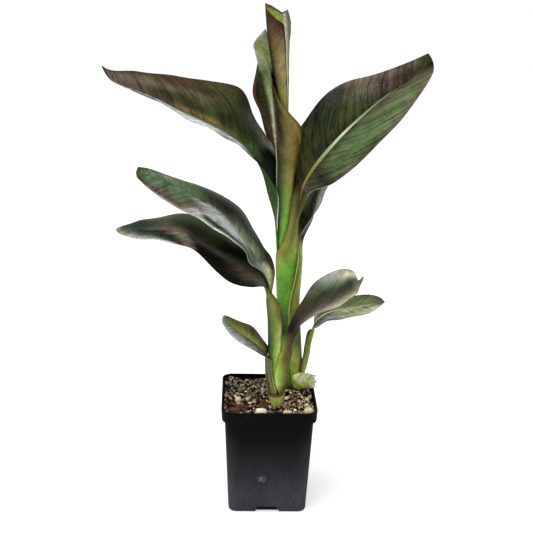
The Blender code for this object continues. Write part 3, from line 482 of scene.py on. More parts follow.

# Each leaf's paint: rows of a station, the colours there from the left margin over the midrib to the
# right margin (evenly spread, or at their own places between -1 and 1, or one for all), the colour of the
# midrib and that of the margins' edges (one for both, or left and right).  What a row leaves out is as in
# the row before.
# Where marked, rows also hold painted shade, painted shadows, painted highlights and painted sheen.
PAINT = {
    "upper_left_leaf": [
        (0, "umber", "umber", "rust"),
        (0.15, "olive fresh clover fresh olive", "fresh", "olive"),
        (3.75, "fresh vein@-.8 sap@-.5 sap basil", "basil", "ivy basil"),
        # Rows 3.95 and 4.85: the snow at the front margin is a near-white painted highlight.
        (3.95, "snow snow@-.9 sap@-.82 sap@-.5 sap@0 basil vein", "basil", "snow basil"),
        (4.85, "snow snow@-.9 sap@-.8 sap@-.5 sap@-.1 pine@.4 night"),
        # Rows 5.15 to 6.5: the soot, ink and night are painted shade inside the petiole's channel.
        # The stone and willow near the right margin, on to row 7.5, are a painted sheen band.
        (5.15, "night sap@-.7 sap@-.1 night@.4 ink@.7 soot", "sap", "night basil"),
        (6, "soot ink@-.7 leaf@-.3 basil@-.06 ink@.15 soot@.4 soot@.7 stone@.85 umber",
         "vein", "soot umber"),
        (6.5, "ink ink@-.6 leaf@-.1 leaf@.1 ink@.3 soot@.6 willow@.85 mauve", "basil", "night silver"),
        # Rows 7 to 12: the frost, pearl, silver and willow on the near half (left) are painted sheen.
        (7, "frost willow@-.85 sage@-.55 leaf@-.3 basil@-.1 sap@.12 pine@.35 stone@.6 willow@.78 stone@.9"
         " umber", "basil", "silver umber"),
        (7.5, "frost frost@-.7 sage@-.5 drab@-.3 sap@-.06 leaf@.12 pine@.35 ivy@.6 stone@.85 umber",
         "basil", "umber"),
        (8, "ash silver@-.9 frost@-.75 frost@-.62 drab@-.45 olive@-.06 leaf@.1 pine@.35 ivy@.6 bronze"
         " umber", "rib_olive"),
        (8.6, "frost frost@-.75 willow@-.5 rib_olive@-.3 khaki@.06 leaf@.14 pine@.3 moss@.6 ivy@.8 umber"),
        (9, "frost frost@-.75 willow@-.5 rib_olive@-.3 khaki@.08 moss@.16 leaf@.4 moss@.55 drab@.75 umber"),
        (10, "frost frost@-.6 silver@-.4 rib_olive@-.24 khaki@.08 moss@.16 leaf@.3 bronze@.5 umber@.65"
         " moss wine"),
        (11, "frost pearl@-.5 silver@-.25 mauve@-.1 plum@.1 peat@.3 bronze wine umber", "plum"),
        (12, "pearl silver@-.4 mauve@0 bronze@.25 mauve@.5 bronze@.75 umber"),
        (13, "mauve mauve mauve mauve@.6 bronze@.8 umber", "mauve"),
        (14, "umber", "umber"),
    ],
    "upper_right_leaf": [
        (0, "umber", "umber", "rust"),
        (0.15, "olive reed olive olive olive", "olive"),
        (1, "olive olive fresh@-.3 fresh lime", "fresh", "wine lime"),
        # Rows 1.3 and 1.6: the ink and pine left of the middle are the painted shadow of the folded leaf.
        (1.3, "olive bay@-.6 ink@-.3 pine sap@.3 fresh@.7 lime", "basil"),
        (1.6, "olive sap@-.6 pine@-.25 sap@.05 grass@.4 fresh@.8 lime"),
        (2, "olive fresh clover@-.2 vivid@.4 fresh@.8 lime", "vivid"),
        (3, "citron citron@-.7 lime@-.3 vivid@.2 fresh@.8 lime", "lime"),
        (4, "gold citron@-.7 olive@-.3 lime@.3 melon@.8 lime", "olive", "wine melon"),
        (5, "gold citron olive@-.1 citron@.4 lime@.8 melon", "olive", "wine cream"),
        (6, "gold olive@-.6 reed@-.1 olive melon"),
        (7, "bay reed umber reed grass", "olive", "umber cream"),
        (7.7, "bay peat umber@-.2 umber@.2 reed@.7 wine", "rust", "umber frost"),
        (8, "bay drab@-.75 peat@-.4 bay@-.15 bronze@.2 drab@.7 umber", "gold", "umber pale"),
        (9, "moss bronze@-.75 leaf@-.5 bay@-.15 pine@.2 night@.5 pine@.75 umber", "olive", "umber rosy"),
        (10, "leaf leaf@-.75 moss@-.5 shade_green@-.2 pine@-.1 moss@.12 basil@.3 basil@.55 sage@.8 bronze",
         "celery", "umber plum"),
        (11, "pine pine@-.75 pine@-.5 leaf@-.25 pine@-.1 moss@.1 basil@.25 basil@.5 vein@.75 ivy",
         "cream", "umber rosy"),
        (12, "ivy ivy@-.75 moss@-.5 leaf@-.25 moss@-.1 leaf@.1 basil@.3 basil@.5 sage@.75 mauve",
         "celery", "umber mauve"),
        (13, "mauve bronze@-.8 mauve@-.5 dark_taupe@-.25 ivy@-.1 leaf@.1 bronze@.25 sage@.5 sage@.75 mauve",
         "taupe"),
        (14, "mauve mauve plum plum@-.15 peat@.05 bronze@.2 drab@.4 bronze@.7 mauve",
         "mauve", "umber bronze"),
        (15, "bronze bronze drab@-.25 bay@0 shade_green@.5 soot", "peat", "soot"),
        (16, "leaf", "leaf"),
    ],
    "middle_left_leaf": [
        (0, "clover", "clover", "olive"),
        (2, "olive lime lime lime olive", "lime", "gold"),
        (2.8, "gold melon cream gold umber", "cream", "umber"),
        # Rows 3.3 to 8: the pearl, frost, silver, willow and ash on the near half (left) are painted sheen.
        (3.3, "ivy pearl@-.5 willow cream@.2 bay@.5 soot", "cream", "pale umber"),
        (4, "mauve ash@-.5 willow ivy@.3 night@.6 soot", "willow"),
        (5, "ivy ash@-.7 stone@-.3 willow@0 ash@.25 leaf@.5 night@.75 soot"),
        (6, "snow silver@-.95 sap@-.9 ink@-.78 silver@-.7 frost@-.45 pearl@-.08 ash@.12 ivy@.45 night"
         " night", "silver", "snow plum"),
        (7, "snow pearl@-.95 sap@-.88 ink@-.76 silver@-.68 pearl@-.35 pearl@-.08 ivy@.08 night@.3"
         " shade_green@.6 moss@.85 ivy"),
        (7.6, "snow pearl@-.93 sap@-.86 pine@-.76 frost@-.64 silver@-.35 pearl@-.1 ivy@.1 night@.35"
         " pine@.7 ivy"),
        (8, "pale frost@-.75 mauve@-.6 taupe@-.35 silver@-.15 plum@-.04 ivy@.12 pine@.35 moss@.7 moss",
         "plum", "pale plum"),
        (8.6, "silver mauve plum@-.55 moss@-.4 jade@-.1 basil@.2 pine moss@.8 moss", "basil"),
        (9, "rosy plum@-.85 basil@-.55 jade@-.2 jade@.2 basil@.5 moss@.8 olive", "jade"),
        (10, "silver plum@-.85 mauve@-.65 jade@-.4 basil ash@.3 basil@.6 moss@.85 basil",
         "jade", "rosy plum"),
        (11, "mauve plum@-.7 basil@-.4 jade@.1 jade@.5 leaf"),
        (12, "leaf", "leaf", "pine"),
    ],
    "lower_left_leaf": [
        (0, "wine reed olive olive olive", "olive", "rust"),
        (1, "reed fresh@-.7 fresh@-.4 vein@.1 basil@.5 basil", "fresh"),
        # Rows 1.4 to 3: the lighter right side and darker pine at the left are painted light and shade
        # round the stem.
        (1.4, "reed melon@-.8 lime@-.55 vein@-.25 leaf@.05 pine@.25 basil", "clover", "wine"),
        (2, "reed sunlit@-.8 lime@-.55 vein@-.3 leaf@.05 pine@.25 basil"),
        (3, "gold olive@-.8 olive@-.5 grass@-.2 basil@.05 leaf@.25 basil", "grass"),
        (4, "gold reed@-.8 olive@-.4 basil@.2 basil", "olive"),
        (4.6, "umber reed@-.6 sage@-.2 basil@.4 bay", "sage", "umber"),
        (5, "mauve stone@-.6 willow ivy@.3 night", "willow"),
        # Rows 6 to 11: the soot and ink on the near half (left) are painted shade where it droops.
        (6, "soot ivy@-.75 bronze@-.5 mauve@-.2 bronze@0 ivy@.2 pine@.5 night", "mauve", "soot umber"),
        (7, "soot ink@-.78 plum dark_taupe ivy night@.15 ink@.4 leaf@.7 leaf", "ivy", "soot"),
        (8, "soot soot@-.6 ink@-.42 moss@-.22 ivy ink@.12 ink@.3 leaf@.55 leaf"),
        (9.1, "soot soot@-.14 drab@-.03 bay@.1 fern@.35 sap@.75 basil", "drab", "soot umber"),
        # Rows 9.3 to 10.5: the mauve and taupe band along the fold is the leaf's purple, painted lighter as
        # light.
        (9.3, "mauve mauve@-.88 soot@-.79 soot@-.08 drab@.02 pine@.1 fern@.4 sap", "drab", "rosy umber"),
        (9.6, "mauve mauve@-.52 soot@-.43 soot@-.06 drab@.03 pine@.1 fern@.4 fern@.8 bay"),
        (9.8, "plum mauve@-.8 mauve@-.26 soot@-.18 soot@-.03 mauve@.04 pine@.12 fern@.45 fern@.8 bay",
         "plum"),
        (9.92, "night plum@-.85 mauve taupe@-.13 soot@-.07 soot@-.01 mauve@.06 pine@.14 fern@.4 pine@.75"
         " bay", "mauve"),
        (10.1, "night night@-.85 ivy@-.7 ash@-.5 taupe@-.25 mauve bay@.12 fern@.3 fern@.6 night umber",
         "mauve", "rosy russet"),
        # Rows 10.5 to 14: the frost, pearl and silver at the near margin are painted sheen.
        (10.5, "frost night@-.86 ink@-.62 ink@-.45 mauve@-.3 taupe@0 mauve@.12 bay@.25 fern@.6 umber",
         "mauve", "pale gold"),
        (11, "frost willow@-.9 stone@-.76 night@-.62 soot@-.4 soot@-.02 mauve@.12 stone@.26 drab@.5"
         " fern@.75 khaki", "soot"),
        (12, "frost pearl@-.88 silver@-.74 stone@-.5 ivy@-.32 ink@-.04 teal_night@.2 teal_night@.5 ink@.78"
         " ivy", "ink", "silver pine"),
        (13, "silver willow@-.6 ash@-.3 stone@.1 teal@.5 ivy@.8 stone", "stone", "silver"),
        (14, "silver", "silver"),
    ],
    "small_left_leaf": [
        (0, "olive olive@-.7 leaf@-.3 moss@.1 leaf@.5 olive", "olive", "wine"),
        (1, "cream wine@-.94 gold@-.86 olive@-.7 leaf@-.4 moss@0 leaf@.5 olive", "reed", "cream wine"),
        (2, "rosy wine@-.9 khaki@-.75 leaf@-.5 grass@-.1 leaf@.5 olive", "reed", "rosy wine"),
        (3, "basil sage reed leaf leaf", "reed", "gold"),
        (4, "ivy leaf leaf night night", "sage", "bronze"),
        (5, "silver mauve@-.5 reed@-.15 olive@.1 bronze@.5 sage", "celery"),
        (6, "pearl silver@-.7 mauve@-.3 olive@-.1 olive@.12 bronze@.4 plum@.75 olive",
         "celery", "frost umber"),
        (7, "pearl willow@-.6 ash@-.2 olive@.05 reed@.5 bronze@.8 umber"),
        (8, "silver willow sage reed umber", "willow"),
        (9, "silver silver silver mauve mauve", "silver", "rosy"),
    ],
    "folded_right_leaf": [
        (0, "gold bay umber bay bay", "umber", "rust"),
        (1, "cream melon@-.75 lime@-.3 olive@.1 reed bay", "fresh", "cream wine"),
        (2, "melon lime@-.6 olive@-.1 reed reed", "olive", "gold wine"),
        (3, "lime olive@-.6 amber@-.1 reed bay", "amber"),
        (4, "gold amber@-.7 russet@-.3 wine leaf leaf", "wine", "wine"),
        (4.7, "umber soot umber@-.2 umber@.2 soot@.6 bronze", "umber", "umber"),
        (5.3, "night soot umber@-.25 plum@0 plum@.4 bronze", "plum"),
        (6, "pine umber@-.7 dark_taupe@-.45 mauve@-.25 taupe@-.12 taupe@0 mauve@.4 bronze", "taupe"),
        (7, "leaf moss@-.85 peat@-.7 plum@-.5 mauve@-.36 taupe@-.27 sand@-.2 sand@0 mauve@.4 bronze",
         "sand", "umber silver"),
        (8, "willow ash@-.88 moss@-.7 drab@-.5 mauve@-.3 sand@-.2 cream@-.1 cream@-.04 sand@.2 mauve@.6"
         " bronze", "cream", "bronze silver"),
        # Rows 8.6 to 10: the glow and cream just inside the top margin are a painted highlight.
        (8.6, "pale silver@-.85 ash@-.72 leaf@-.6 drab@-.42 mauve@-.28 sand@-.18 cream@-.04 sand@.3 bronze",
         ),
        (9, "pale silver@-.92 cream@-.84 willow@-.72 moss@-.58 drab@-.42 mauve@-.3 sand@-.2 cream@-.05"
         " sand@.5 sage"),
        (9.45, "willow glow@-.94 glow@-.84 ash@-.74 moss@-.64 drab@-.5 mauve@-.38 sand@-.25 cream@-.05"
         " sand@.5 sage"),
        (10, "cream glow@-.9 ash@-.72 sand@-.45 sand@.5 cream", "cream", "rosy"),
        (11, "mauve mauve rosy rosy rosy", "rosy", "wine"),
        (12, "rosy"),
    ],
    "small_right_leaf": [
        (0, "rust lime lime lime lime", "lime", "rust lime"),
        (0.3, "rust olive@-.6 lime lime lime", "lime", "wine melon"),
        (2, "wine khaki@-.8 straw@-.5 citron@-.1 lime@.4 lime", "citron"),
        (3, "umber khaki@-.8 olive@-.4 citron@.1 lime", "citron", "umber melon"),
        (4, "umber khaki@-.6 reed@-.1 olive@.4 lime", "reed"),
        (5, "rust umber@-.6 reed@-.1 lime@.4 lime", "sage", "umber"),
        (6, "soot silver@-.7 night@-.4 basil@-.1 sage@.2 ash@.5 silver", "cream", "frost pale"),
        (7, "silver soot@-.8 pearl@-.55 basil@-.1 basil@.3 leaf", "cream", "silver"),
        (8, "frost pale cream vein@-.3 cream@-.12 celery@.1 vein@.4 basil@.8 rib_pink",
         "cream", "frost umber"),
        (9, "frost cream cream@-.35 vein@-.08 celery@.02 vein@.2 grass basil@.8 bronze"),
        (10, "pale cream vein@-.1 basil@.3 leaf@.7 bronze", "vein", "silver umber"),
        (11, "bay", "bay", "umber"),
    ],
    "back_right_leaf": [
        (0, "umber umber lime lime umber", "lime", "umber"),
        (0.2, "olive olive vein@.05 lime@.3 lime"),
        (0.7, "basil basil@-.3 leaf@.05 grass@.2 olive@.35 citron@.6 lime", "vein", "umber lime"),
        # Row 1.1: the darker leaf and moss are the painted shadow of the folded leaf on this sheath.
        (1.1, "basil leaf@-.3 moss@.1 leaf@.3 sap@.5 olive"),
        (1.6, "vein basil@-.3 grass@.05 grass@.3 sap@.6 olive", "fresh", "rust lime"),
        (2, "vein olive@-.3 citron@.05 citron@.25 olive@.45 citron@.7 reed@.9 sunlit",
         "fresh", "rust sunlit"),
        (3, "fresh olive@-.3 citron@.05 melon@.25 melon@.5 citron@.7 reed@.88 sunlit", "lime"),
        (4, "fresh olive@-.4 citron@.05 melon@.3 lime@.6 olive@.88 sunlit", "olive"),
        (4.7, "fresh olive@-.4 citron@.05 straw@.3 straw@.6 bay@.85 lime", "olive", "rust lime"),
        (5, "sage leaf bay leaf sage", "leaf", "bronze"),
        # Rows 6 and 7: the dark left half is painted shade on the folded blade; the silver and frost are
        # painted sheen.
        (6, "night pine@-.5 teal@-.1 ash@.1 silver@.4 frost", "rib_olive", "umber frost"),
        (7, "night dark_taupe@-.5 shade_green@-.2 ash@.05 silver@.4 frost"),
        (8, "ivy pine basil basil ash", "rib_olive", "umber rosy"),
        (10, "bronze ivy basil ivy bronze", "rib_olive", "rosy"),
        (11, "bronze", "bronze", "bronze"),
    ],
    "clasping_leaf": [
        (0, "umber reed gold wine olive", "gold", "rust"),
        (1, "gold gold olive olive bay", "olive"),
        (2, "clover", "clover", "olive"),
        (3, "fresh clover@-.6 vivid@-.2 vivid@.3 clover", "vivid", "lime"),
        (4, "fresh clover@-.7 vivid@-.2 vivid@.2 fresh@.5 olive"),
        # Rows 4.3 to 10: the snow and cream at the left margin are a near-white painted highlight.
        # The sap, leaf and slate just inside that margin are painted shade.
        (4.3, "frost basil@-.9 vein@-.6 vivid@-.2 vivid@.2 fresh@.5 olive", "vivid", "frost"),
        (5, "snow snow@-.97 sap@-.9 sap@-.75 vein@-.5 fresh@-.15 fresh@.15 olive@.5 olive", "lime", "snow"),
        (6, "snow snow@-.96 sap@-.88 leaf@-.7 vein@-.5 olive@-.3 citron@0 amber@.3 khaki@.5 gold",
         "citron"),
        (7, "snow snow@-.96 leaf@-.88 bay@-.7 reed@-.45 khaki@-.25 gold@0 amber@.25 rust@.5 gold",
         "gold", "snow rust"),
        (8, "snow snow@-.96 slate@-.9 leaf@-.8 leaf@-.7 amber@-.5 khaki@-.25 gold@0 amber@.3 rust"),
        (9, "snow snow@-.96 slate@-.9 slate@-.86 leaf@-.72 peat@-.5 khaki@-.25 gold@0 amber@.3 gold@.6"
         " rust"),
        (10, "cream cream@-.95 slate@-.88 slate@-.82 umber@-.7 umber@-.45 reed@-.2 gold@.1 gold@.6 russet"
         " rust", "gold", "cream rust"),
        (11, "cream slate@-.8 umber@-.55 umber@-.2 peat@0 reed@.3 gold@.6 rust", "peat"),
        (12, "taupe plum umber@-.2 peat@.2 reed@.6 wine", "peat", "taupe rust"),
        (13, "wine", "wine"),
    ],
    "half_rolled_leaf": [
        (0, "fresh", "fresh", "olive"),
        (2, "leaf basil leaf leaf olive", "basil"),
        # Rows 3 to 8.6: the soot by the midrib is painted shade in the fold.
        (3, "bay sage celery@-.2 soot@0 bay", "soot", "wine"),
        # Rows 4 to 10: the cream, celery and glow on the front half are painted highlights.
        (4, "russet wine@-.9 cream@-.75 cream@-.4 soot@-.2 bay@.4 rust", "soot", "umber wine"),
        (5, "russet wine@-.9 olive@-.82 cream@-.74 cream@-.45 soot@-.35 soot@0 rust@.4 wine@.8 soot",
         "soot", "umber"),
        (6, "bay bay@-.92 grass@-.8 cream@-.72 cream@-.58 soot@-.5 soot@0 umber@.3 bay@.8 wine",
         "soot", "umber wine"),
        (7, "bay sap@-.9 celery@-.78 celery@-.58 soot@-.5 soot@0 umber@.4 bay@.7 soot@.85 rust",
         "soot", "umber"),
        (8, "leaf sage@-.85 sage@-.65 celery@-.48 soot@-.4 soot@0 bay@.5 leaf"),
        (8.6, "silver celery@-.75 celery@-.45 cream@-.25 soot@-.16 soot@0 sage@.5 sage", "soot", "pale"),
        (9, "silver celery olive celery@-.3 glow@-.18 cream@-.04 celery@0 sage@.5 sage", "cream"),
        (10, "rosy khaki@-.8 celery@-.4 cream@-.1 glow@0 cream@.4 celery", "cream", "rosy"),
        (11, "pearl", "pearl"),
    ],
    "spear_leaf": [
        (0, "fresh", "fresh", "olive"),
        (4, "melon melon melon lime lime", "melon", "wine"),
        (5.2, "sunlit sunlit sunlit sunlit@.6 khaki@.78 rosy", "sunlit", "rust"),
        (5.7, "sunlit melon sunlit melon@.5 khaki@.75 rosy", "melon", "wine"),
        (5.86, "khaki khaki khaki khaki@.5 russet@.75 rosy", "khaki"),
        (6, "wine russet russet wine@.5 wine@.75 rosy", "russet"),
    ],
    "cut_leaf_stub": [
        (0, "gold rust gold umber umber", "gold", "umber"),
        (0.35, "olive melon@-.6 sunlit@-.2 lime@.3 gold", "sunlit", "melon"),
        (1, "cream sunlit@-.6 glow@-.2 melon@.3 celery", "glow"),
        (2, "glow cream@-.6 melon@-.2 celery@.4 celery", "cream", "glow"),
        (3, "glow glow cream glow pale", "glow"),
    ],
}

# The spear leaf's other side has its own paint.  Elsewhere that side is the same paint, turned towards
# mauve on the blade.
BACK_PAINT = {
    "spear_leaf": [
        (0, "fresh", "fresh", "olive"),
        (1, "olive olive@-.75 reed@-.45 umber@-.15 umber@.4 olive@.8 gold", "olive", "gold"),
        (2, "citron citron olive reed umber@-.05 umber@.4 olive@.78 olive@.955 snow", "olive", "snow"),
        (3, "olive straw@-.72 straw khaki@-.35 peat@-.18 umber@.4 gold@.8 olive@.95 snow"),
        (4, "khaki straw@-.72 khaki@-.48 amber@-.3 umber@-.15 umber@.4 russet@.74 taupe@.84 rosy@.92 snow",
         "gold"),
        (5, "russet khaki@-.75 russet@-.48 russet@-.3 umber@-.18 umber@.4 wine@.66 russet@.76 mauve@.84"
         " rosy@.91 cream", "bronze", "wine cream"),
        (6, "russet russet@-.7 umber@-.45 umber@-.2 umber@.4 wine@.66 russet@.78 mauve@.86 rosy@.92 cream",
         "wine", "wine"),
    ],
}


# ---------------------------------------------------------------------------------------------------
# Meshes


def place_object(name, points, faces):
    """A mesh in the scene, from points in millimetres."""
    mesh = bpy.data.meshes.new(name)
    mesh.from_pydata((np.asarray(points) * MM).tolist(), [], np.asarray(faces).tolist())
    item = bpy.data.objects.new(name, mesh)
    bpy.context.scene.collection.objects.link(item)
    return item


def shade_smooth(mesh, sharp_edge):
    """Smooth shading, but for edges sharper than an angle in degrees."""
    mesh.shade_smooth()
    mesh.set_sharp_from_angle(angle=math.radians(sharp_edge))


def finish_object(name, points, faces, material, replaced, layers=None, uv=None):
    """A smooth-shaded piece with its faces turned outwards, its vertex attributes and its own UV map,
    riding on the plant's one body in place of the named CAD node.  The faces point outwards when the
    sum of a . (b x c) over them, a, b and c being a triangle's corners, is above zero."""
    a, b, c = (points[faces[:, k]] for k in range(3))
    volume = np.einsum("ij,ij->", a, np.cross(b, c))
    if faces.shape[1] == 4:
        volume += np.einsum("ij,ij->", a, np.cross(c, points[faces[:, 3]]))
    item = place_object(name, points, faces[:, ::-1] if volume < 0 else faces)
    mesh = item.data
    shade_smooth(mesh, SHARP_EDGE)
    if uv is not None:
        corner = np.empty(len(mesh.loops), np.int32)
        mesh.loops.foreach_get("vertex_index", corner)
        mesh.uv_layers.new(name="UVMap").data.foreach_set("uv", uv[corner].ravel().astype(np.float32))
    for label, values in (layers or {}).items():
        values = np.asarray(values, np.float32)
        if values.ndim == 2:
            colour = np.concatenate([values, np.ones((len(values), 1), np.float32)], 1)
            layer = mesh.color_attributes.new(label, "FLOAT_COLOR", "POINT")
            layer.data.foreach_set("color", colour.ravel())
        else:
            mesh.attributes.new(label, "FLOAT", "POINT").data.foreach_set("value", values)
    mesh.materials.append(material)
    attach(item, "root")
    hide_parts(replaced)
    return item


def grid_faces(rows, columns, closed=False):
    """The quads between the points of a grid; closed joins the last column to the first."""
    i, j = np.meshgrid(np.arange(rows - 1), np.arange(columns if closed else columns - 1), indexing="ij")
    k = (j + 1) % columns
    quads = [i * columns + j, i * columns + k, (i + 1) * columns + k, (i + 1) * columns + j]
    return np.stack([q.ravel() for q in quads], 1)


def closed_tube(rings, first, last):
    """The points and triangles of a tube through rings of points, closed at each end by a fan to a
    middle point, first or last."""
    rows, columns = rings.shape[:2]
    points = np.concatenate([rings.reshape(-1, 3), [first, last]])
    quads = grid_faces(rows, columns, closed=True)
    j = np.arange(columns)
    k = (j + 1) % columns
    end = (rows - 1) * columns
    start_point, end_point = (np.full(columns, rows * columns + n) for n in range(2))
    fans = [np.stack([start_point, k, j], 1), np.stack([end_point, end + j, end + k], 1)]
    return points, np.concatenate([quads[:, [0, 1, 2]], quads[:, [0, 2, 3]], *fans])


def noise_waves(points, sizes, seed):
    """A smooth random height at each point: for each size, the mean of a few sine waves of about that
    length in seeded directions.  Lies within about -1 to 1."""
    draw = np.random.default_rng(seed)
    waves = 7
    total = np.zeros(len(points))
    for size in sizes:
        turns = unit(draw.normal(size=(waves, points.shape[1]))) * (2 * np.pi / size)
        total += np.sin(points @ turns.T + draw.uniform(0, 2 * np.pi, waves)).sum(1) / 4
    return total / len(sizes)


# ---------------------------------------------------------------------------------------------------
# Leaves


def painted_row(names, v):
    """One painted row: its colours at the given places across, mixed straight between the named ones."""
    names = names.split()
    places, shades = [], []
    for name, even in zip(names, np.linspace(-1, 1, len(names))):
        colour, _, given = name.partition("@")
        places.append(float(given or even))
        shades.append(COLOURS[colour])
    return np.stack([np.interp(v, places, channel) for channel in np.array(shades).T], 1)


def paint_grid(paint, place, v):
    """Colours over a leaf's grid, mixed straight between the painted rows lengthwise.  Returns the
    blade's, the midrib's and the left and right edge's colours."""
    stops = np.array([row[0] for row in paint], float)
    bands = np.array([painted_row(row[1], v) for row in paint])
    lines = []
    ends = ()
    for row in paint:
        ends = row[2:] + ends[len(row) - 2:]
        lines.append([COLOURS[name] for name in [ends[0]] + (ends[1].split() * 2)[:2]])
    lines = np.array(lines)
    upper = np.clip(np.searchsorted(stops, place, side="right"), 1, len(stops) - 1)
    t = np.clip((place - stops[upper - 1]) / (stops[upper] - stops[upper - 1]), 0, 1)[:, None, None]
    bands = bands[upper - 1] * (1 - t) + bands[upper] * t
    lines = lines[upper - 1] * (1 - t) + lines[upper] * t
    return bands, lines[:, 0], lines[:, 1:]


def relief(along, side, v, wave, seed, unevenness):
    """How far a blade's middle surface stands off the plain loft, in millimetres: two sine waves along
    the margin, growing with the distance from the midrib to the power 2.2; sine pleats along the side
    veins, fading at the midrib and the margin; and the given unevenness, growing towards the margin."""
    s = np.abs(v)[None, :]
    turn = np.where(v < 0, 0.0, 2.1)[None, :]
    long_wave, longer_wave = MARGIN_WAVES
    margin = np.sin(along / long_wave + turn + seed) + 0.6 * np.sin(along / longer_wave - turn)
    vein = along - VEIN_SLOPE * np.abs(side) - VEIN_BEND / 10 * side ** 2
    pleats = np.sin(vein * 2 * np.pi / PLEAT_LENGTH + 1.3 * np.sin(vein / PLEAT_DRIFT + seed))
    window = np.sin(np.pi * np.clip(s, 0, 1)) ** 0.7
    return wave * margin * s ** 2.2 + PLEAT_HEIGHT * pleats * window + UNEVENNESS * unevenness * s


def torn_end(surface, place, v, depth):
    """The surface with its end torn: pushed onward by the sum of three sines across it, over its last
    stretch, a share of a station long."""
    stretch = 0.6
    torn = np.sin(v * 9.0 + 1.0) + 0.7 * np.sin(v * 23.0) + 0.5 * np.sin(v * 51.0 + 2.0)
    onward = unit(np.gradient(surface, axis=0)[-1:, :])
    near_end = ease((place - place[-1] + stretch) / stretch)[:, None, None]
    return surface + depth * 0.45 * near_end * torn[None, :, None] * onward


def skin_faces(rows, columns):
    """The faces of a leaf's two skins, one grid after the other, and of the rim that joins them."""
    upper = grid_faces(rows, columns)
    size = rows * columns
    edge = np.concatenate([
        np.arange(columns),
        np.arange(1, rows) * columns + columns - 1,
        (rows - 1) * columns + np.arange(columns - 2, -1, -1),
        np.arange(rows - 2, 0, -1) * columns,
    ])
    following = np.roll(edge, -1)
    rim = np.stack([following, edge, edge + size, following + size], 1)
    return np.concatenate([upper, upper[:, ::-1] + size, rim])


def painted_skins(name, place, v, blade):
    """The colour layers of both skins, the painted one and the other."""
    layers = {"tint": [], "rib_tint": [], "edge_tint": []}
    for paint in (PAINT[name], BACK_PAINT.get(name)):
        tint, rib_tint, edge_tint = paint_grid(paint or PAINT[name], place, v)
        if not paint:
            under = tint * 0.75 + COLOURS["mauve"] * 0.45
            tint = tint + (under - tint) * (UNDER.get(name, UNDER_MAUVE) * blade)[:, None, None]
        layers["tint"].append(tint.reshape(-1, 3))
        layers["rib_tint"].append(np.repeat(rib_tint, len(v), axis=0))
        layers["edge_tint"].append(edge_tint[:, (v > 0).astype(int)].reshape(-1, 3))
    return {label: np.concatenate(skins) for label, skins in layers.items()}


def leaf_mesh(name, stations, seed):
    """A leaf's points, faces, layers and map.

    The grid runs along the leaf (rows) and from margin to margin (columns, close together at the midrib
    and the margins: (1 - cos) / 2).  Each point of the middle surface moves along the surface's normal by
    the relief, which fades out on the sheath and at the tip.  The two skins stand off it by the leaf's
    half thickness; the midrib adds a rounded ridge, cosine squared, mostly on the side away from the
    painted one.
    """
    _, (sheath_end, blade_start), rib_width, keel_height, wave, streak = FINISH[name]
    half = (1 - np.cos(np.pi * np.arange(HALF_COLUMNS + 1) / HALF_COLUMNS)) / 2
    v = np.concatenate([-half[::-1], half[1:]])
    middle = np.array([section(np.zeros(1), np.array([0.0, 0.0, 1.0]))[0] for section in stations])
    tangents = unit(np.gradient(middle, axis=0))
    surface, place = smooth([section(v, t) for section, t in zip(stations, tangents)], LEAF_ROWS)
    rows, columns = surface.shape[:2]

    steps = np.linalg.norm(np.diff(surface, axis=1), axis=2)
    outward = np.concatenate([np.zeros((rows, 1)), np.cumsum(steps, axis=1)], 1)
    side = outward - outward[:, HALF_COLUMNS:HALF_COLUMNS + 1]
    lengths = np.linalg.norm(np.diff(surface[:, HALF_COLUMNS], axis=0), axis=1)
    along = np.concatenate([[0.0], np.cumsum(lengths)])
    along = (along - np.interp(sheath_end, place, along))[:, None]
    width = np.maximum(np.abs(side[:, :1]), np.abs(side[:, -1:]))
    normal = unit(np.cross(np.gradient(surface, axis=1), np.gradient(surface, axis=0)))

    blade = ease((place - sheath_end) / (blade_start - sheath_end))
    reach = np.clip(along / max(along[-1, 0], 1.0), 0, 1)
    ending = ease((1 - reach) * TIP_FADE)
    unevenness = noise_waves(surface.reshape(-1, 3), UNEVEN_SIZES, 40 + seed).reshape(rows, columns)
    strength = blade[:, None] * ending * np.minimum(width / FULL_WIDTH, 1.0)
    lift = strength * relief(along, side, v, wave, seed, unevenness)
    surface = surface + normal * lift[..., None]
    if name in RAGGED:
        surface = torn_end(surface, place, v, RAGGED[name])

    rib_width = rib_width * (0.25 + 0.75 * (1 - reach) ** 0.9) * (0.4 + 0.6 * ease(reach / 0.3))
    from_rib = np.abs(side) / rib_width
    ridge = np.cos(np.clip(from_rib, 0, 1) * np.pi / 2) ** 2 * blade[:, None]
    keel = keel_height * (0.12 + 0.88 * (1 - reach) ** 1.1) * ending
    margin_share = np.sqrt(np.clip((1 - np.abs(v)) * 12, 0, 1))
    thin = SKIN * (THIN_EDGE + (1 - THIN_EDGE) * margin_share) + THICKER.get(name, 0.0)
    skins = [surface + normal * (thin + RIB_ON_PAINTED_SIDE * keel * ridge)[..., None],
             surface - normal * (thin + keel * ridge)[..., None]]

    from_edge = np.minimum(outward, outward[:, -1:] - outward)
    band = EDGE_ON_SHEATH + (EDGE_ON_BLADE - EDGE_ON_SHEATH) * blade[:, None]
    values = {
        "from_rib": np.clip(from_rib, 0, FARTHEST),
        "from_edge": np.clip(from_edge / band, 0, FARTHEST),
        "blade": np.repeat(blade, columns),
        "streak": np.repeat(SHEATH_STREAK + (streak - SHEATH_STREAK) * blade, columns),
    }
    layers = painted_skins(name, place, v, blade)
    layers.update({label: np.tile(value.ravel(), 2) for label, value in values.items()})
    centimetres = np.stack([np.broadcast_to(along, side.shape), side], -1).reshape(-1, 2) * 0.1
    points = np.concatenate([skin.reshape(-1, 3) for skin in skins])
    return points, skin_faces(rows, columns), layers, np.tile(centimetres, (2, 1))


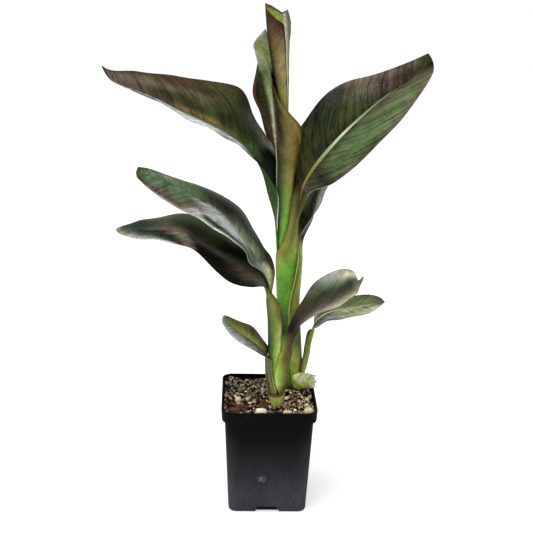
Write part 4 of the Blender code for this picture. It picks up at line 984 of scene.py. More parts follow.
def build_leaves(materials):
    """Every leaf, each in place of the CAD node of its name."""
    for seed, (name, stations) in enumerate(LEAVES.items()):
        slot = FINISH[name][0]
        points, faces, layers, uv = leaf_mesh(name, stations, seed)
        finish_object(name + "_skin", points, faces, materials[slot], name, layers, uv)


# ---------------------------------------------------------------------------------------------------
# Pot

STRAIGHT_POINTS = 16
POT_CORNER_POINTS = 14
CUTTER_OVERRUN = 3.0


def rounded_square(width, corner, height, corner_points):
    """Points round a level square with round corners: a quarter circle about one corner's centre and a
    straight run on to the next, turned by quarter turns to all four sides."""
    reach = width / 2 - corner
    angle = np.linspace(0, np.pi / 2, corner_points)
    arc = reach + corner * np.stack([np.cos(angle), np.sin(angle)], 1)
    run = np.linspace(reach, -reach, STRAIGHT_POINTS + 2)[1:-1]
    x, y = np.concatenate([arc, np.stack([run, np.full(len(run), reach + corner)], 1)]).T
    sides = [np.stack(turned_by, 1) for turned_by in ((x, y), (-y, x), (-x, -y), (y, -x))]
    return np.concatenate([np.concatenate(sides), np.full((4 * len(x), 1), height)], 1)


def wall_width(height):
    """The pot's outside width below the rim."""
    return POT_FOOT_WIDTH + (POT_SHOULDER_WIDTH - POT_FOOT_WIDTH) * height / POT_SHOULDER


def pot_side(side):
    """The level directions along one of the pot's four sides and out of it."""
    turn = side * math.pi / 2
    along = np.array([math.cos(turn), math.sin(turn), 0.0])
    return along, np.array([-along[1], along[0], 0.0])


def drain_cutter(side):
    """One drain notch as a block: a trapezium, wider at the foot, run in from outside the wall."""
    along, out = pot_side(side)
    low, high = DRAIN_WIDTH / 2, DRAIN_TOP_WIDTH / 2
    corners = [(-low, -1.0), (low, -1.0), (high, DRAIN_HEIGHT), (-high, DRAIN_HEIGHT)]
    reaches = (POT_FOOT_WIDTH / 2 - DRAIN_DEPTH, POT_FOOT_WIDTH / 2 + CUTTER_OVERRUN)
    points = [along * x + out * r + np.array([0, 0, z]) for r in reaches for x, z in corners]
    faces = [(0, 1, 2, 3), (7, 6, 5, 4)] + [(k + 4, (k + 1) % 4 + 4, (k + 1) % 4, k) for k in range(4)]
    return place_object("drain_cutter", points, faces)


def build_pot(material):
    """The moulded pot: its profile, given as (width, corner radius, height) up the outside, over the rim
    and down the inside, is carried round a rounded square; the four drain notches are then cut out."""
    shoulder = POT_SHOULDER
    r = POT_CORNER_RADIUS
    foot = [
        (POT_FOOT_WIDTH - 2 * FOOT_ROUNDING * (1 - math.sin(a)), r - FOOT_ROUNDING * (1 - math.sin(a)),
         FOOT_ROUNDING * (1 - math.cos(a)))
        for a in np.linspace(0, math.pi / 2, 6)
    ]
    wall_heights = (2.6, 4.0, 6.8, 10, 20, 35, 50, 65, 80, 95, 104, 108, shoulder - 0.6)
    wall = [(wall_width(z), r, z) for z in wall_heights]
    band_width = RIM_WIDTH - 2 * RIM_FLARE
    inside = RIM_WIDTH - 2 * POT_WALL
    band = [
        (wall_width(shoulder) + 0.1, r, shoulder - 0.1),
        (band_width - 1.4, r + 1.2, shoulder),
        (band_width - 0.5, r + 1.5, shoulder + 0.2),
        (band_width, r + 1.6, shoulder + 0.8),
        (band_width + 0.5, r + 1.7, shoulder + 4),
        (band_width + 0.9, r + 1.8, shoulder + 8),
        (RIM_WIDTH - 0.1, r + 2.0, POT_HEIGHT - 1.0),
        (RIM_WIDTH, r + 2.0, POT_HEIGHT - 0.5),
        (RIM_WIDTH - 0.3, r + 1.9, POT_HEIGHT - 0.15),
        (RIM_WIDTH - 0.9, r + 1.7, POT_HEIGHT),
        (inside + 0.7, r + 1.1, POT_HEIGHT),
        (inside + 0.1, r + 1.0, POT_HEIGHT - 0.15),
        (inside, r + 1.0, POT_HEIGHT - 0.5),
        (band_width - 2 * POT_WALL, r, shoulder + POT_WALL),
        (wall_width(shoulder) - 2 * POT_WALL, r - 1.0, shoulder),
        (wall_width(60) - 2 * POT_WALL, r - 1.2, 60),
        (wall_width(POT_FLOOR) - 2 * POT_WALL, r - 1.4, POT_FLOOR),
    ]
    rings = np.array([rounded_square(*row, POT_CORNER_POINTS) for row in foot + wall + band])
    points, faces = closed_tube(rings, (0, 0, 0), (0, 0, POT_FLOOR))
    pot = finish_object("nursery_pot_shell", points, faces, material, "nursery_pot")
    cutters = [drain_cutter(side) for side in range(4)]
    for cutter in cutters:
        change = pot.modifiers.new("notch", "BOOLEAN")
        change.operation = "DIFFERENCE"
        change.solver = "EXACT"
        change.object = cutter
    bpy.context.view_layer.update()
    pot_cut = bpy.data.meshes.new_from_object(pot.evaluated_get(bpy.context.evaluated_depsgraph_get()))
    pot.modifiers.clear()
    pot.data = pot_cut
    shade_smooth(pot_cut, POT_SHARP_EDGE)
    for cutter in cutters:
        bpy.data.objects.remove(cutter)


# ---------------------------------------------------------------------------------------------------
# Potting mix, stones and chips

BED_COLOUR = "#1d1611"
BED_CLEARANCE = 0.6
BED_RINGS = 40
BED_CORNER_POINTS = 6
GRAIN_COUNT = 3200
SMALLEST_GRAIN = 1.5
GRAIN_GROWTH = 4.2
GRAINS_FROM_WALL = 1.2
NOTCH_GRAINS = 34
NOTCH_GRAIN_SIZES = (0.8, 2.0)
NOTCH_GRAIN_HEIGHTS = (3.6, 6.0)
NOTCH_GRAIN_DEPTHS = (-0.3, 1.2)
NOTCH_GRAIN_REACH = 9.5
GRAIN_KINDS = {
    "dark_peat": ("#14100d", 0.30),
    "brown_bark": ("#3c2a20", 0.18),
    "red_bark": ("#6a4534", 0.13),
    "grey_grit": ("#6d6a5c", 0.12),
    "green_grit": ("#86846c", 0.10),
    "tan_grit": ("#b99f78", 0.12),
    "cream_grit": ("#ecdcb4", 0.10),
}


def rough_ball():
    """The corners and faces of an icosahedron of size one, the base of every grain."""
    g = (1 + 5 ** 0.5) / 2
    corners = [(-1, g, 0), (1, g, 0), (-1, -g, 0), (1, -g, 0), (0, -1, g), (0, 1, g),
               (0, -1, -g), (0, 1, -g), (g, 0, -1), (g, 0, 1), (-g, 0, -1), (-g, 0, 1)]
    faces = [(0, 11, 5), (0, 5, 1), (0, 1, 7), (0, 7, 10), (0, 10, 11), (1, 5, 9), (5, 11, 4), (11, 10, 2),
             (10, 7, 6), (7, 1, 8), (3, 9, 4), (3, 4, 2), (3, 2, 6), (3, 6, 8), (3, 8, 9), (4, 9, 5),
             (2, 4, 11), (6, 2, 10), (8, 6, 7), (9, 8, 1)]
    return unit(np.array(corners, float)), np.array(faces)


def turned(count, draw):
    """count random turns as matrices, from seeded unit quaternions."""
    w, x, y, z = unit(draw.normal(size=(count, 4))).T
    return np.stack([
        np.stack([1 - 2 * (y * y + z * z), 2 * (x * y - z * w), 2 * (x * z + y * w)], -1),
        np.stack([2 * (x * y + z * w), 1 - 2 * (x * x + z * z), 2 * (y * z - x * w)], -1),
        np.stack([2 * (x * z - y * w), 2 * (y * z + x * w), 1 - 2 * (x * x + y * y)], -1),
    ], 1)


def mix_height(x, y):
    """The uneven top of the mix: the products of two sine waves along the sides and of two finer ones
    along the diagonals."""
    broad = np.sin(x / 7.3 + 1.1) * np.sin(y / 6.1 + 0.4)
    fine = 0.6 * np.sin((x + y) / 3.9) * np.sin((x - y) / 4.7)
    return MIX_LEVEL + 1.1 * (broad + fine) - 0.8


def mix_bed(top_width):
    """The bed of mix as a closed tube of rounded squares, up inside the pot's wall and then inwards over
    its uneven top."""
    lower_clear = 2 * POT_WALL + BED_CLEARANCE
    top_corner = POT_CORNER_RADIUS
    floor = POT_FLOOR + 0.3
    rings = [
        (wall_width(POT_FLOOR) - lower_clear, 7.4, floor),
        (wall_width(POT_SHOULDER) - lower_clear, 7.8, POT_SHOULDER + 0.3),
        (top_width, top_corner, POT_SHOULDER + POT_WALL + 0.6),
        (top_width, top_corner, MIX_LEVEL - 2.5),
    ]
    rings = [rounded_square(*row, BED_CORNER_POINTS) for row in rings]
    for share in np.linspace(0.985, 0.03, BED_RINGS):
        ring = rounded_square(top_width * share, top_corner * share, 0.0, BED_CORNER_POINTS)
        ring[:, 2] = mix_height(ring[:, 0], ring[:, 1])
        rings.append(ring)
    return closed_tube(np.array(rings), (0, 0, floor), (0, 0, float(mix_height(0, 0))))


def grains(places, sizes, draw):
    """Loose grains as one mesh: the base body scaled unevenly, turned and set at each place."""
    ball, ball_faces = rough_ball()
    count = len(places)
    rough = ball[None] * draw.uniform(0.75, 1.15, (count, len(ball), 1))
    shape = sizes[:, None, None] * draw.uniform(0.55, 1.25, (count, 1, 3)) / 2
    points = np.einsum("nij,nkj->nki", turned(count, draw), rough * shape) + places[:, None]
    faces = ball_faces[None] + (np.arange(count) * len(ball))[:, None, None]
    return points.reshape(-1, 3), faces.reshape(-1, 3)


def grain_colours(places, draw):
    """A colour for each grain: a seeded choice of kind, with more red bark at the front left and more
    pale grit at the right, varied in brightness."""
    shades = np.array([linear(code) for code, _ in GRAIN_KINDS.values()])
    odds = np.tile([share for _, share in GRAIN_KINDS.values()], (len(places), 1))
    front_left = ease((-places[:, 0] - 5) / 20) * ease((-places[:, 1] - 5) / 15)
    right = ease((places[:, 0] - 12) / 15)
    back = ease((places[:, 1] - 2) / 14) * (1 - right)
    odds[:, 2] *= 1 + 3.0 * front_left
    odds[:, 3:5] *= (1 + 1.2 * back - 0.7 * front_left)[:, None]
    odds[:, 5:7] *= (1 + 1.4 * right - 0.5 * front_left)[:, None]
    odds = np.cumsum(odds / odds.sum(1, keepdims=True), 1)
    kind = (draw.uniform(size=(len(places), 1)) > odds).sum(1).clip(0, len(shades) - 1)
    return shades[kind] * draw.uniform(0.7, 1.55, (len(places), 1))


def build_mix(material):
    """The potting mix: a bed inside the pot with an uneven top, covered with loose grains, and more of
    them lying in the drain notches."""
    draw = np.random.default_rng(7)
    top_width = RIM_WIDTH - 2 * RIM_FLARE - (2 * POT_WALL + BED_CLEARANCE)
    bed, bed_faces = mix_bed(top_width)
    half = top_width / 2 - GRAINS_FROM_WALL
    flat = draw.uniform(-half, half, (GRAIN_COUNT, 2))
    size = SMALLEST_GRAIN + GRAIN_GROWTH * draw.power(0.6, GRAIN_COUNT)
    sunk = mix_height(flat[:, 0], flat[:, 1]) + size * draw.uniform(-0.15, 0.3, GRAIN_COUNT)
    places = [np.concatenate([flat, sunk[:, None]], 1)]
    sizes = [size]
    for side in range(4):
        along, out = pot_side(side)
        x = draw.uniform(-NOTCH_GRAIN_REACH, NOTCH_GRAIN_REACH, NOTCH_GRAINS)
        z = draw.uniform(*NOTCH_GRAIN_HEIGHTS, NOTCH_GRAINS)
        depth = POT_FOOT_WIDTH / 2 - DRAIN_DEPTH + draw.uniform(*NOTCH_GRAIN_DEPTHS, NOTCH_GRAINS)
        places.append(along * x[:, None] + out * depth[:, None] + np.array([0, 0, 1.0]) * z[:, None])
        sizes.append(draw.uniform(*NOTCH_GRAIN_SIZES, NOTCH_GRAINS))
    places = np.concatenate(places)
    loose, loose_faces = grains(places, np.concatenate(sizes), draw)
    shades = np.repeat(grain_colours(places, draw), len(loose) // len(places), axis=0)
    layers = {"tint": np.concatenate([np.tile(linear(BED_COLOUR), (len(bed), 1)), shades])}
    points = np.concatenate([bed, loose])
    faces = np.concatenate([bed_faces, loose_faces + len(bed)])
    finish_object("potting_mix_bed", points, faces, material, "potting_mix", layers)


# Each lump's middle, size, seed and colour
STONES = {
    "perlite_front": ((-9.0, -41.5, 119.5), (12.5, 9.5, 9.0), 3, "#f2e6c6"),
    "perlite_left": ((-33.0, -11.0, 119.5), (7.0, 6.5, 6.5), 5, "#e6d4a8"),
    "perlite_left_small": ((-23.0, -9.5, 119.3), (4.6, 5.0, 5.0), 8, "#dccba2"),
    "perlite_front_right": ((18.5, -41.0, 119.0), (9.0, 6.5, 5.5), 11, "#d6c69c"),
    "perlite_right": ((42.0, -37.5, 119.5), (10.5, 8.0, 7.5), 14, "#e2d0a2"),
}
BARK = {
    "bark_chip_middle": ((-5.0, -26.0, 119.5), (10.0, 13.0, 4.0), 21, "#4c342a"),
    "bark_chip_left": ((-37.0, -35.0, 119.0), (12.0, 8.0, 4.0), 24, "#5a4033"),
}
LUMP_ROWS = 34
LUMP_COLUMNS = 48
LUMP_WAVES = (1.6, 0.8, 0.42)
LUMP_SHADE_WAVES = (0.9, 0.35)


def build_lumps(lumps, material, power, roughness):
    """Stones or chips: each a super-ellipsoid (the sine and cosine of both angles raised to a power, so
    that a low power makes it blocky) whose radius is varied by seeded waves."""
    polar = np.linspace(0.02, np.pi - 0.02, LUMP_ROWS)[:, None]
    angle = np.arange(LUMP_COLUMNS)[None, :] * 2 * np.pi / LUMP_COLUMNS
    sines = (np.sin(polar), np.cos(polar), np.sin(angle), np.cos(angle))
    sin_polar, cos_polar, sin_angle, cos_angle = (np.sign(t) * np.abs(t) ** power for t in sines)
    rings = np.stack([sin_polar * cos_angle, sin_polar * sin_angle, -cos_polar * np.ones_like(angle)], -1)
    plain, faces = closed_tube(rings, (0, 0, -1.0), (0, 0, 1.0))
    for name, (centre, size, seed, shade) in lumps.items():
        body = plain * (1 + roughness * noise_waves(plain, LUMP_WAVES, seed))[:, None]
        points = body * (np.array(size) / 2) * 0.98 + np.array(centre)
        tone = linear(shade) * (1 + 0.35 * noise_waves(body, LUMP_SHADE_WAVES, seed + 1))[:, None]
        finish_object(name + "_stone", points, faces, material, name, {"tint": tone})


# ---------------------------------------------------------------------------------------------------
# Stems.  Radii and colours are given at heights, from foot to top.

FRONT_GIRTH = [
    (94, 4.4), (108, 5.0), (118, 5.4), (121, 6.0), (124, 6.9), (127, 7.6), (129.6, 7.9), (131.6, 7.9),
    (132.5, 7.9), (132.9, 8.3), (133.7, 8.5), (134.3, 8.3), (134.7, 7.5), (134.72, 5.2), (137, 4.8),
    (190, 4.8), (222, 4.5), (233, 2.8), (238, 1.5),
]
FRONT_TONES = [
    (94, "olive"), (117, "citron"), (121, "bulb_green"), (127, "bulb_green"), (132.0, "citron"),
    (132.6, "wine"), (133.4, "ring_tan"), (134.2, "umber"), (140, "olive"), (238, "lime"),
]
MAIN_GIRTH = [
    (94, 5.0), (108, 8.5), (112, 11.6), (114.5, 13.4), (116.4, 13.9), (117.4, 13.4), (117.45, 6.0),
    (120, 5.0), (145, 5.0), (172, 4.9), (197, 4.8), (222, 4.8), (265, 4.6), (290, 4.4), (312, 4.0),
    (336, 2.8), (351, 2.4),
]
MAIN_TONES = [
    (94, "cream"), (110, "bronze"), (115, "wine"), (117.4, "rust"), (125, "lime"), (351, "lime"),
]
STEM_COLUMNS = 72
STEM_STEP = 0.8
FIBRE_SIZES = (3.0, 1.3)
FIBRE_DEPTH = 0.018
FIBRE_SHADE = 0.3


def build_stem(name, centreline, girths, tones, material, seed):
    """A round stem: circles of the given radii at heights up its centreline, roughened by fine upright
    fibres, which are seeded waves round a circle of radius 9 with the height squeezed to a quarter."""
    heights = np.concatenate([
        np.linspace(a[0], b[0], max(2, int((b[0] - a[0]) / STEM_STEP) + 1))[:-1]
        for a, b in zip(girths, girths[1:])
    ] + [[girths[-1][0]]])
    radii = np.interp(heights, *zip(*girths))
    centre = np.stack([*centre_at(centreline, heights, 120), heights], 1)
    angle = np.arange(STEM_COLUMNS) * 2 * np.pi / STEM_COLUMNS
    circle = np.stack([np.cos(angle), np.sin(angle), np.zeros(STEM_COLUMNS)], 1)
    grid = np.broadcast_arrays(np.cos(angle) * 9, np.sin(angle) * 9, heights[:, None] * 0.25)
    fibres = noise_waves(np.stack(grid, -1).reshape(-1, 3), FIBRE_SIZES, seed).reshape(len(heights), -1)
    reach = radii[:, None] * (1 + FIBRE_DEPTH * fibres)
    points, faces = closed_tube(centre[:, None] + reach[..., None] * circle, centre[0], centre[-1])
    stops, names = zip(*tones)
    shades = np.array([COLOURS[tone] for tone in names])
    tone = np.stack([np.interp(heights, stops, channel) for channel in shades.T], 1)
    tone = tone[:, None] * (1 + FIBRE_SHADE * fibres[..., None])
    layers = {"tint": np.concatenate([tone.reshape(-1, 3), tone[0, :1], tone[-1, :1]]).clip(0, 1)}
    finish_object(name + "_body", points, faces, material, name, layers)


# ---------------------------------------------------------------------------------------------------
# Materials


def new_material(name, roughness, specular):
    """A Principled material and its parts, with its even numbers set on the shader itself."""
    material = bpy.data.materials.new(name)
    material.use_nodes = True
    tree = material.node_tree
    shader = tree.nodes["Principled BSDF"]
    shader.inputs["Roughness"].default_value = roughness
    shader.inputs["Specular IOR Level"].default_value = specular
    return material, tree, shader


def feed(tree, inlet, value):
    """Links a socket to an input, or sets a plain value on it."""
    if isinstance(value, bpy.types.NodeSocket):
        tree.links.new(value, inlet)
    else:
        inlet.default_value = value


def node(tree, kind, settings=None, **inputs):
    """A shader node, its settings and its inputs, by name or as i0, i1 and so on by number."""
    made = tree.nodes.new("ShaderNode" + kind)
    for key, value in (settings or {}).items():
        setattr(made, key, value)
    for key, value in inputs.items():
        feed(tree, made.inputs[int(key[1:]) if key[1:].isdigit() else key], value)
    return made


def maths(tree, operation, *values):
    """The output of one Math node."""
    inputs = {f"i{k}": value for k, value in enumerate(values)}
    return node(tree, "Math", {"operation": operation}, **inputs).outputs[0]


def times(tree, product, *others):
    """The product of two or more values."""
    for other in others:
        product = maths(tree, "MULTIPLY", product, other)
    return product


def plus(tree, a, b):
    """The sum of two values."""
    return maths(tree, "ADD", a, b)


def minus(tree, a, b):
    """The first value less the second."""
    return maths(tree, "SUBTRACT", a, b)


def spread(tree, value, amount, middle=0.5):
    """A value's distance from its middle, times an amount."""
    return times(tree, minus(tree, value, middle), amount)


def ramp(tree, value, low, high, to_low=0.0, to_high=1.0):
    """A smooth step of a value from one range to another."""
    ends = {"From Min": low, "From Max": high, "To Min": to_low, "To Max": to_high}
    made = node(tree, "MapRange", {"interpolation_type": "SMOOTHSTEP"}, Value=value, **ends)
    return made.outputs["Result"]


def blend_colour(tree, kind, share, first, second):
    """The output of a colour Mix node of one blend type."""
    settings = {"data_type": "RGBA", "blend_type": kind}
    return node(tree, "Mix", settings, i0=share, i6=first, i7=second).outputs[2]


def brighten(tree, colour, amount):
    """A colour times an amount of light."""
    return node(tree, "VectorMath", {"operation": "SCALE"}, i0=colour, Scale=amount).outputs[0]


def noise(tree, vector, scale, detail=3.0, roughness=0.55):
    """The grey output of a noise texture."""
    made = node(tree, "TexNoise", Vector=vector, Scale=scale, Detail=detail, Roughness=roughness)
    return made.outputs[0]


def vector_of(tree, x, y, z=0.0):
    """A vector from three values."""
    return node(tree, "CombineXYZ", X=x, Y=y, Z=z).outputs[0]


def own_place(tree):
    """The place on the piece, in metres from the origin."""
    return tree.nodes.new("ShaderNodeTexCoord").outputs["Object"]


def attribute(tree, name, output):
    """A vertex attribute of the piece."""
    return node(tree, "Attribute", {"attribute_name": name}).outputs[output]


def cover(tree, shader, colour, height, strength, distance):
    """Gives a shader its colour and a bumpy surface."""
    bump = node(tree, "Bump", Height=height, Strength=strength, Distance=distance)
    tree.links.new(colour, shader.inputs["Base Color"])
    tree.links.new(bump.outputs[0], shader.inputs["Normal"])


WARMER = (1.60, 0.90, 0.64, 1.0)
GREENER = (0.88, 1.32, 0.82, 1.0)
RIB_SHADOW = (0.45, 0.45, 0.40, 1.0)
LEAF_TINTS = {"Tint": "tint", "Rib Tint": "rib_tint", "Edge Tint": "edge_tint"}
LEAF_MASKS = {"Blade": "blade", "From Rib": "from_rib", "From Edge": "from_edge", "Streak": "streak"}


def leaf_group():
    """The leaf's surface pattern, shared by blades, young leaves and sheaths.

    Side veins are the lines of even 'vein' = along - 0.9 |across| - 0.12 across squared (centimetres):
    they leave the midrib at about 45 degrees and bend towards the tip.  Streaks of light and dark, thin
    dark lines and broader bands of painted crease shade follow them on the blade, where noise lets them
    show; on the sheath the streaks run lengthwise.  Mottling, specks, rusty and greener patches lie over
    them.  The midrib and the margin's edge take their own colours where 'from rib' and 'from edge' are
    small.
    """
    group = bpy.data.node_groups.new("leaf_surface", "ShaderNodeTree")
    sockets = [
        ("INPUT", "Color", LEAF_TINTS), ("INPUT", "Vector", ("Map", "Place")),
        ("INPUT", "Float", (*LEAF_MASKS, "Contrast")),
        ("OUTPUT", "Color", ("Colour",)), ("OUTPUT", "Float", ("Roughness", "Height")),
    ]
    for way, kind, labels in sockets:
        for label in labels:
            group.interface.new_socket(label, in_out=way, socket_type="NodeSocket" + kind)
    given = group.nodes.new("NodeGroupInput").outputs
    place, blade, streakiness = given["Place"], given["Blade"], given["Streak"]
    split = node(group, "SeparateXYZ", Vector=given["Map"])
    along, over = split.outputs[0], split.outputs[1]
    aside = maths(group, "ABSOLUTE", over)
    side = maths(group, "SIGN", over)

    vein = minus(group, along, times(group, aside, VEIN_SLOPE))
    vein = minus(group, vein, times(group, aside, aside, VEIN_BEND))
    vein = plus(group, vein, spread(group, noise(group, place, 60.0), 0.35))
    band_place = vector_of(group, vein, times(group, aside, 0.16), times(group, side, 3.7))
    broad = ramp(group, noise(group, band_place, 1.5, 2.0), 0.38, 0.62)
    fine = ramp(group, noise(group, band_place, 6.5), 0.36, 0.64)
    bands = plus(group, times(group, broad, 0.5), times(group, fine, 0.5))
    stripe_place = vector_of(group, times(group, along, 0.22), times(group, over, 4.5))
    stripes = ramp(group, noise(group, stripe_place, 2.0, 4.0), 0.25, 0.75)
    streak = node(group, "Mix", {"data_type": "FLOAT"}, i0=blade, i2=stripes, i3=bands).outputs[0]

    line = maths(group, "SINE", times(group, vein, 2 * math.pi / VEIN_STEP))
    hair = times(group, ramp(group, line, 0.55, 0.95),
                 ramp(group, noise(group, band_place, 2.3, 2.0), 0.40, 0.62), blade)
    # Painted shade in the creases among the side veins, on the blade
    fold = maths(group, "SINE", times(group, vein, 2 * math.pi / PLEAT_STEP))
    crease_shade = times(group, ramp(group, fold, 0.45, 0.95),
                   ramp(group, noise(group, band_place, 0.8), 0.42, 0.60), blade, streakiness)
    mottle = ramp(group, noise(group, place, 95.0, 4.0, 0.6), 0.3, 0.7)
    speck = noise(group, place, 900.0, 2.0)
    strength = times(group, given["Contrast"], streakiness)
    light = plus(group, spread(group, streak, strength, 0.52), 1.0)
    light = plus(group, light, spread(group, mottle, 0.34))
    light = plus(group, light, spread(group, speck, 1.5))
    light = minus(group, light, times(group, hair, streakiness, 0.38))
    light = minus(group, light, times(group, crease_shade, 0.42))
    shade = brighten(group, given["Tint"], light)

    patch_place = vector_of(group, times(group, vein, 1.4), times(group, aside, 3.0),
                            times(group, side, 5.1))
    rusty = ramp(group, noise(group, patch_place, 1.3, 5.0, 0.7), 0.50, 0.66)
    greener = ramp(group, noise(group, place, 260.0, 4.0, 0.65), 0.52, 0.68)
    warm = blend_colour(group, "MULTIPLY", 1.0, shade, WARMER)
    fresh = blend_colour(group, "MULTIPLY", 1.0, shade, GREENER)
    flecks = times(group, streakiness, plus(group, times(group, blade, 0.85), 0.12))
    patched = blend_colour(group, "MIX", times(group, rusty, flecks), shade, warm)
    patched = blend_colour(group, "MIX", times(group, greener, flecks), patched, fresh)

    flank = times(group, ramp(group, given["From Rib"], 2.1, 1.05), times(group, blade, 0.35))
    flanked = blend_colour(group, "MULTIPLY", flank, patched, RIB_SHADOW)
    rib_mask = times(group, ramp(group, given["From Rib"], 1.05, 0.70), blade)
    rib_shade = brighten(group, given["Rib Tint"], plus(group, times(group, stripes, 0.3), 0.85))
    ribbed = blend_colour(group, "MIX", rib_mask, flanked, rib_shade)
    ragged = plus(group, given["From Edge"], spread(group, mottle, 0.9))
    edge_mask = ramp(group, ragged, 1.25, 0.55, 0.0, 0.85)

    out = group.nodes.new("NodeGroupOutput").inputs
    feed(group, out["Colour"], blend_colour(group, "MIX", edge_mask, ribbed, given["Edge Tint"]))
    feed(group, out["Roughness"], plus(group, times(group, streak, 0.10), 0.36))
    feed(group, out["Height"], plus(group, times(group, streak, 0.6), hair))
    return group


def leaf_material(name, group, contrast, specular):
    """A leaf material: the shared pattern over the piece's own painted layers."""
    material, tree, shader = new_material(name, 0.42, specular)
    pattern = tree.nodes.new("ShaderNodeGroup")
    pattern.node_tree = group
    for output, layers in (("Color", LEAF_TINTS), ("Fac", LEAF_MASKS)):
        for label, layer in layers.items():
            feed(tree, pattern.inputs[label], attribute(tree, layer, output))
    feed(tree, pattern.inputs["Map"], tree.nodes.new("ShaderNodeTexCoord").outputs["UV"])
    feed(tree, pattern.inputs["Place"], own_place(tree))
    feed(tree, pattern.inputs["Contrast"], contrast)
    feed(tree, shader.inputs["Roughness"], pattern.outputs["Roughness"])
    cover(tree, shader, pattern.outputs["Colour"], pattern.outputs["Height"], 0.35, 0.00025)
    return material


def earthy_material(name, bump_scale, roughness=0.95, grain=0.3):
    """Rough matter painted by its own layer, with fine specks and a rough surface."""
    material, tree, shader = new_material(name, roughness, 0.15)
    speck = noise(tree, own_place(tree), bump_scale, 4.0, 0.65)
    bright = plus(tree, spread(tree, speck, 2 * grain), 1.0)
    cover(tree, shader, brighten(tree, attribute(tree, "tint", "Color"), bright), speck, 0.5, 0.0004)
    return material


POT_BLACK = (0.0016, 0.0017, 0.0022, 1)
# The grey of the painted floor reflection on the lower pot
POT_FLOOR_REFLECTION = (0.053, 0.057, 0.063, 1)
SCUFF_GREY = (0.10, 0.105, 0.11, 1)
SPECK_PALE = (0.25, 0.23, 0.20, 1)
KNOCK_PALE = (0.42, 0.42, 0.44, 1)
KNOCK_PLACE = (-0.0067, -0.0440, 0.0415)


def pot_material():
    """Black moulded plastic: greyer towards the foot, a painted reflection of the pale floor in front, and
    greyer at the lower corners, with faint scuffs, pale specks and one knocked spot low on the front."""
    material, tree, shader = new_material("pot_plastic", 0.5, 0.08)
    place = own_place(tree)
    x, y, z = node(tree, "SeparateXYZ", Vector=place).outputs
    # Painted reflection of the floor: greyer towards the foot, in patches, and at the lower corners
    foot_reflection = ramp(tree, z, 0.100, -0.010)
    to_corner = maths(tree, "MINIMUM", maths(tree, "ABSOLUTE", x), maths(tree, "ABSOLUTE", y))
    lower_corners = times(tree, ramp(tree, to_corner, 0.028, 0.043), ramp(tree, z, 0.110, 0.070))
    cloud = noise(tree, place, 28.0, 4.0, 0.6)
    reflection_share = times(tree, foot_reflection, ramp(tree, cloud, 0.2, 0.85, 0.7, 1.3))
    reflection_share = plus(tree, reflection_share, times(tree, lower_corners, 0.25))
    base = blend_colour(tree, "MIX", reflection_share, POT_BLACK, POT_FLOOR_REFLECTION)
    grain = plus(tree, spread(tree, noise(tree, place, 620.0, 3.0, 0.7), 2.2), 1.0)
    stretched = node(tree, "Mapping", Vector=place, Scale=(1.0, 1.0, 0.35)).outputs[0]
    scuff = ramp(tree, noise(tree, stretched, 420.0, 2.0, 0.5), 0.70, 0.80)
    speck = ramp(tree, noise(tree, place, 1100.0, 1.0, 0.5), 0.76, 0.83)
    knock = node(tree, "VectorMath", {"operation": "DISTANCE"}, i0=place, i1=KNOCK_PLACE)
    knocked = times(tree, ramp(tree, knock.outputs["Value"], 0.006, 0.001),
                    ramp(tree, noise(tree, place, 640.0), 0.52, 0.60))
    marked = brighten(tree, base, grain)
    for share, colour in ((times(tree, scuff, 0.35), SCUFF_GREY), (times(tree, speck, 0.35), SPECK_PALE),
                          (knocked, KNOCK_PALE)):
        marked = blend_colour(tree, "MIX", share, marked, colour)
    feed(tree, shader.inputs["Roughness"], ramp(tree, cloud, 0.2, 0.8, 0.42, 0.60))
    cover(tree, shader, marked, noise(tree, place, 1500.0, 2.0), 0.12, 0.0002)
    return material


RHIZOME_DARK = (0.16, 0.10, 0.05, 1)
RHIZOME_TAN = (0.46, 0.37, 0.22, 1)


def rhizome_material():
    """The rootstock's skin: tan, ringed by darker scars at even steps along it."""
    material, tree, shader = new_material("rhizome", 0.75, 0.3)
    place = own_place(tree)
    rings = node(tree, "TexWave", {"bands_direction": "Y"}, Vector=place, Scale=22.0, Distortion=3.0)
    mottle = noise(tree, place, 160.0, 4.0)
    colour = blend_colour(tree, "MIX", times(tree, rings.outputs[1], mottle), RHIZOME_DARK, RHIZOME_TAN)
    cover(tree, shader, colour, mottle, 0.4, 0.0006)
    return material


# ---------------------------------------------------------------------------------------------------
# Stage

WHITE = (1, 1, 1, 1)
FLOOR_GREY = (0.82, 0.82, 0.82, 1)
FLOOR_GLOW = 0.48
FLOOR_HALF = 40000.0
AMBIENT = 0.65
REFLECTED_FRONT = 0.12
LAMP_PLACE = (-0.7, -0.5, 1.9)
LAMP_SIZE = 1.6
LAMP_POWER = 26.0
LAMP_DIRECTION = (0.7, 0.5, -1.65)
CAMERA_PLACE = (-0.03846, -0.93903, 0.5649)
CAMERA_YAW_PITCH_ROLL = (2.01, 17.53, 1.38)
FOCAL_LENGTH = 63.38


def white_world(world):
    """White where it is seen, dimmer as light on the plant, and darker towards the front in reflections."""
    world.use_nodes = True
    tree = world.node_tree
    rays = tree.nodes.new("ShaderNodeLightPath").outputs
    direction = tree.nodes.new("ShaderNodeTexCoord").outputs["Generated"]
    _, y, z = node(tree, "SeparateXYZ", Vector=direction).outputs
    behind = plus(tree, y, times(tree, z, 0.35))
    backdrop = ramp(tree, behind, -0.25, 0.55, REFLECTED_FRONT, 1.0)
    glossy = rays["Is Glossy Ray"]
    seen = maths(tree, "MAXIMUM", rays["Is Camera Ray"], rays["Is Transmission Ray"])
    unseen = minus(tree, 1.0, plus(tree, seen, glossy))
    strength = plus(tree, plus(tree, seen, times(tree, glossy, backdrop)), times(tree, unseen, AMBIENT))
    background = tree.nodes["Background"].inputs
    background["Color"].default_value = WHITE
    tree.links.new(strength, background["Strength"])


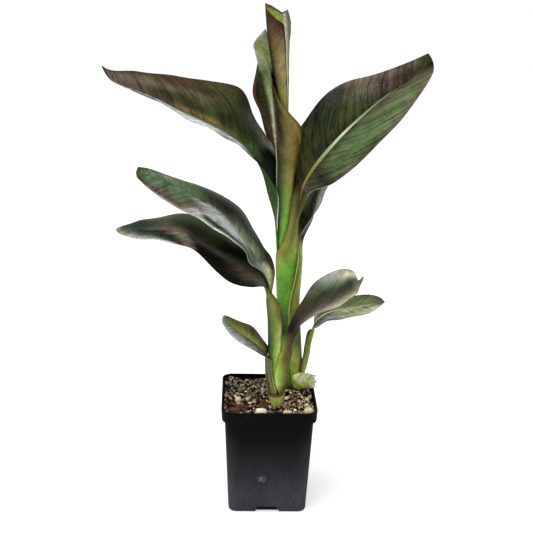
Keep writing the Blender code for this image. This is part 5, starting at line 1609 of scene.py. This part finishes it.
def white_floor():
    """A pale floor that keeps the plant's shadow and looks white to the camera."""
    h = FLOOR_HALF
    floor = place_object("floor", [(-h, -h, 0), (h, -h, 0), (h, h, 0), (-h, h, 0)], [(0, 1, 2, 3)])
    material, tree, shader = new_material("floor", 0.9, 0.0)
    shader.inputs["Base Color"].default_value = FLOOR_GREY
    shader.inputs["Emission Color"].default_value = WHITE
    seen = tree.nodes.new("ShaderNodeLightPath").outputs["Is Camera Ray"]
    tree.links.new(times(tree, seen, FLOOR_GLOW), shader.inputs["Emission Strength"])
    floor.data.materials.append(material)


def studio():
    """White floor and surroundings, a soft light above and to the left, and the camera."""
    scene = bpy.context.scene
    scene.view_settings.view_transform = "Standard"
    scene.world = bpy.data.worlds.new("studio")
    white_world(scene.world)
    white_floor()

    lamp = bpy.data.lights.new("softbox", "AREA")
    lamp.shape = "SQUARE"
    lamp.size = LAMP_SIZE
    lamp.energy = LAMP_POWER
    softbox = bpy.data.objects.new("softbox", lamp)
    softbox.location = LAMP_PLACE
    softbox.rotation_euler = Vector(LAMP_DIRECTION).to_track_quat("-Z", "Y").to_euler()
    scene.collection.objects.link(softbox)

    lens = bpy.data.cameras.new("camera")
    lens.sensor_width = 36.0
    lens.lens = FOCAL_LENGTH
    camera = bpy.data.objects.new("camera", lens)
    yaw, pitch, roll = (math.radians(a) for a in CAMERA_YAW_PITCH_ROLL)
    forward = Vector((math.sin(yaw) * math.cos(pitch), math.cos(yaw) * math.cos(pitch), -math.sin(pitch)))
    level = Vector((math.cos(yaw), -math.sin(yaw), 0.0))
    upright = Vector((math.sin(yaw) * math.sin(pitch), math.cos(yaw) * math.sin(pitch), math.cos(pitch)))
    right = level * math.cos(roll) + upright * math.sin(roll)
    up = upright * math.cos(roll) - level * math.sin(roll)
    turn = Matrix((right, up, -forward)).transposed().to_4x4()
    camera.matrix_world = Matrix.Translation(CAMERA_PLACE) @ turn
    scene.collection.objects.link(camera)
    scene.camera = camera


def main():
    """Builds the plant's looks around the solid model."""
    group = leaf_group()
    build_leaves({
        "leaf": leaf_material("leaf", group, 1.0, 0.10),
        "young_leaf": leaf_material("young_leaf", group, 0.9, 0.12),
        "stem": leaf_material("cut_stem", group, 0.9, 0.12),
    })
    build_pot(pot_material())
    build_mix(earthy_material("potting_mix", 900.0))
    build_lumps(STONES, earthy_material("perlite", 420.0, 0.9, 0.15), 0.8, 0.11)
    build_lumps(BARK, earthy_material("bark", 500.0, 0.9, 0.5), 0.5, 0.12)
    skin = earthy_material("stem_skin", 700.0, 0.5, 0.25)
    build_stem("front_stem", FRONT_LINE, FRONT_GIRTH, FRONT_TONES, skin, 31)
    build_stem("main_stem", MAIN_LINE, MAIN_GIRTH, MAIN_TONES, skin, 32)
    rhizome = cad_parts["rhizome"]
    rhizome.data.materials.clear()
    rhizome.data.materials.append(rhizome_material())
    studio()


main()
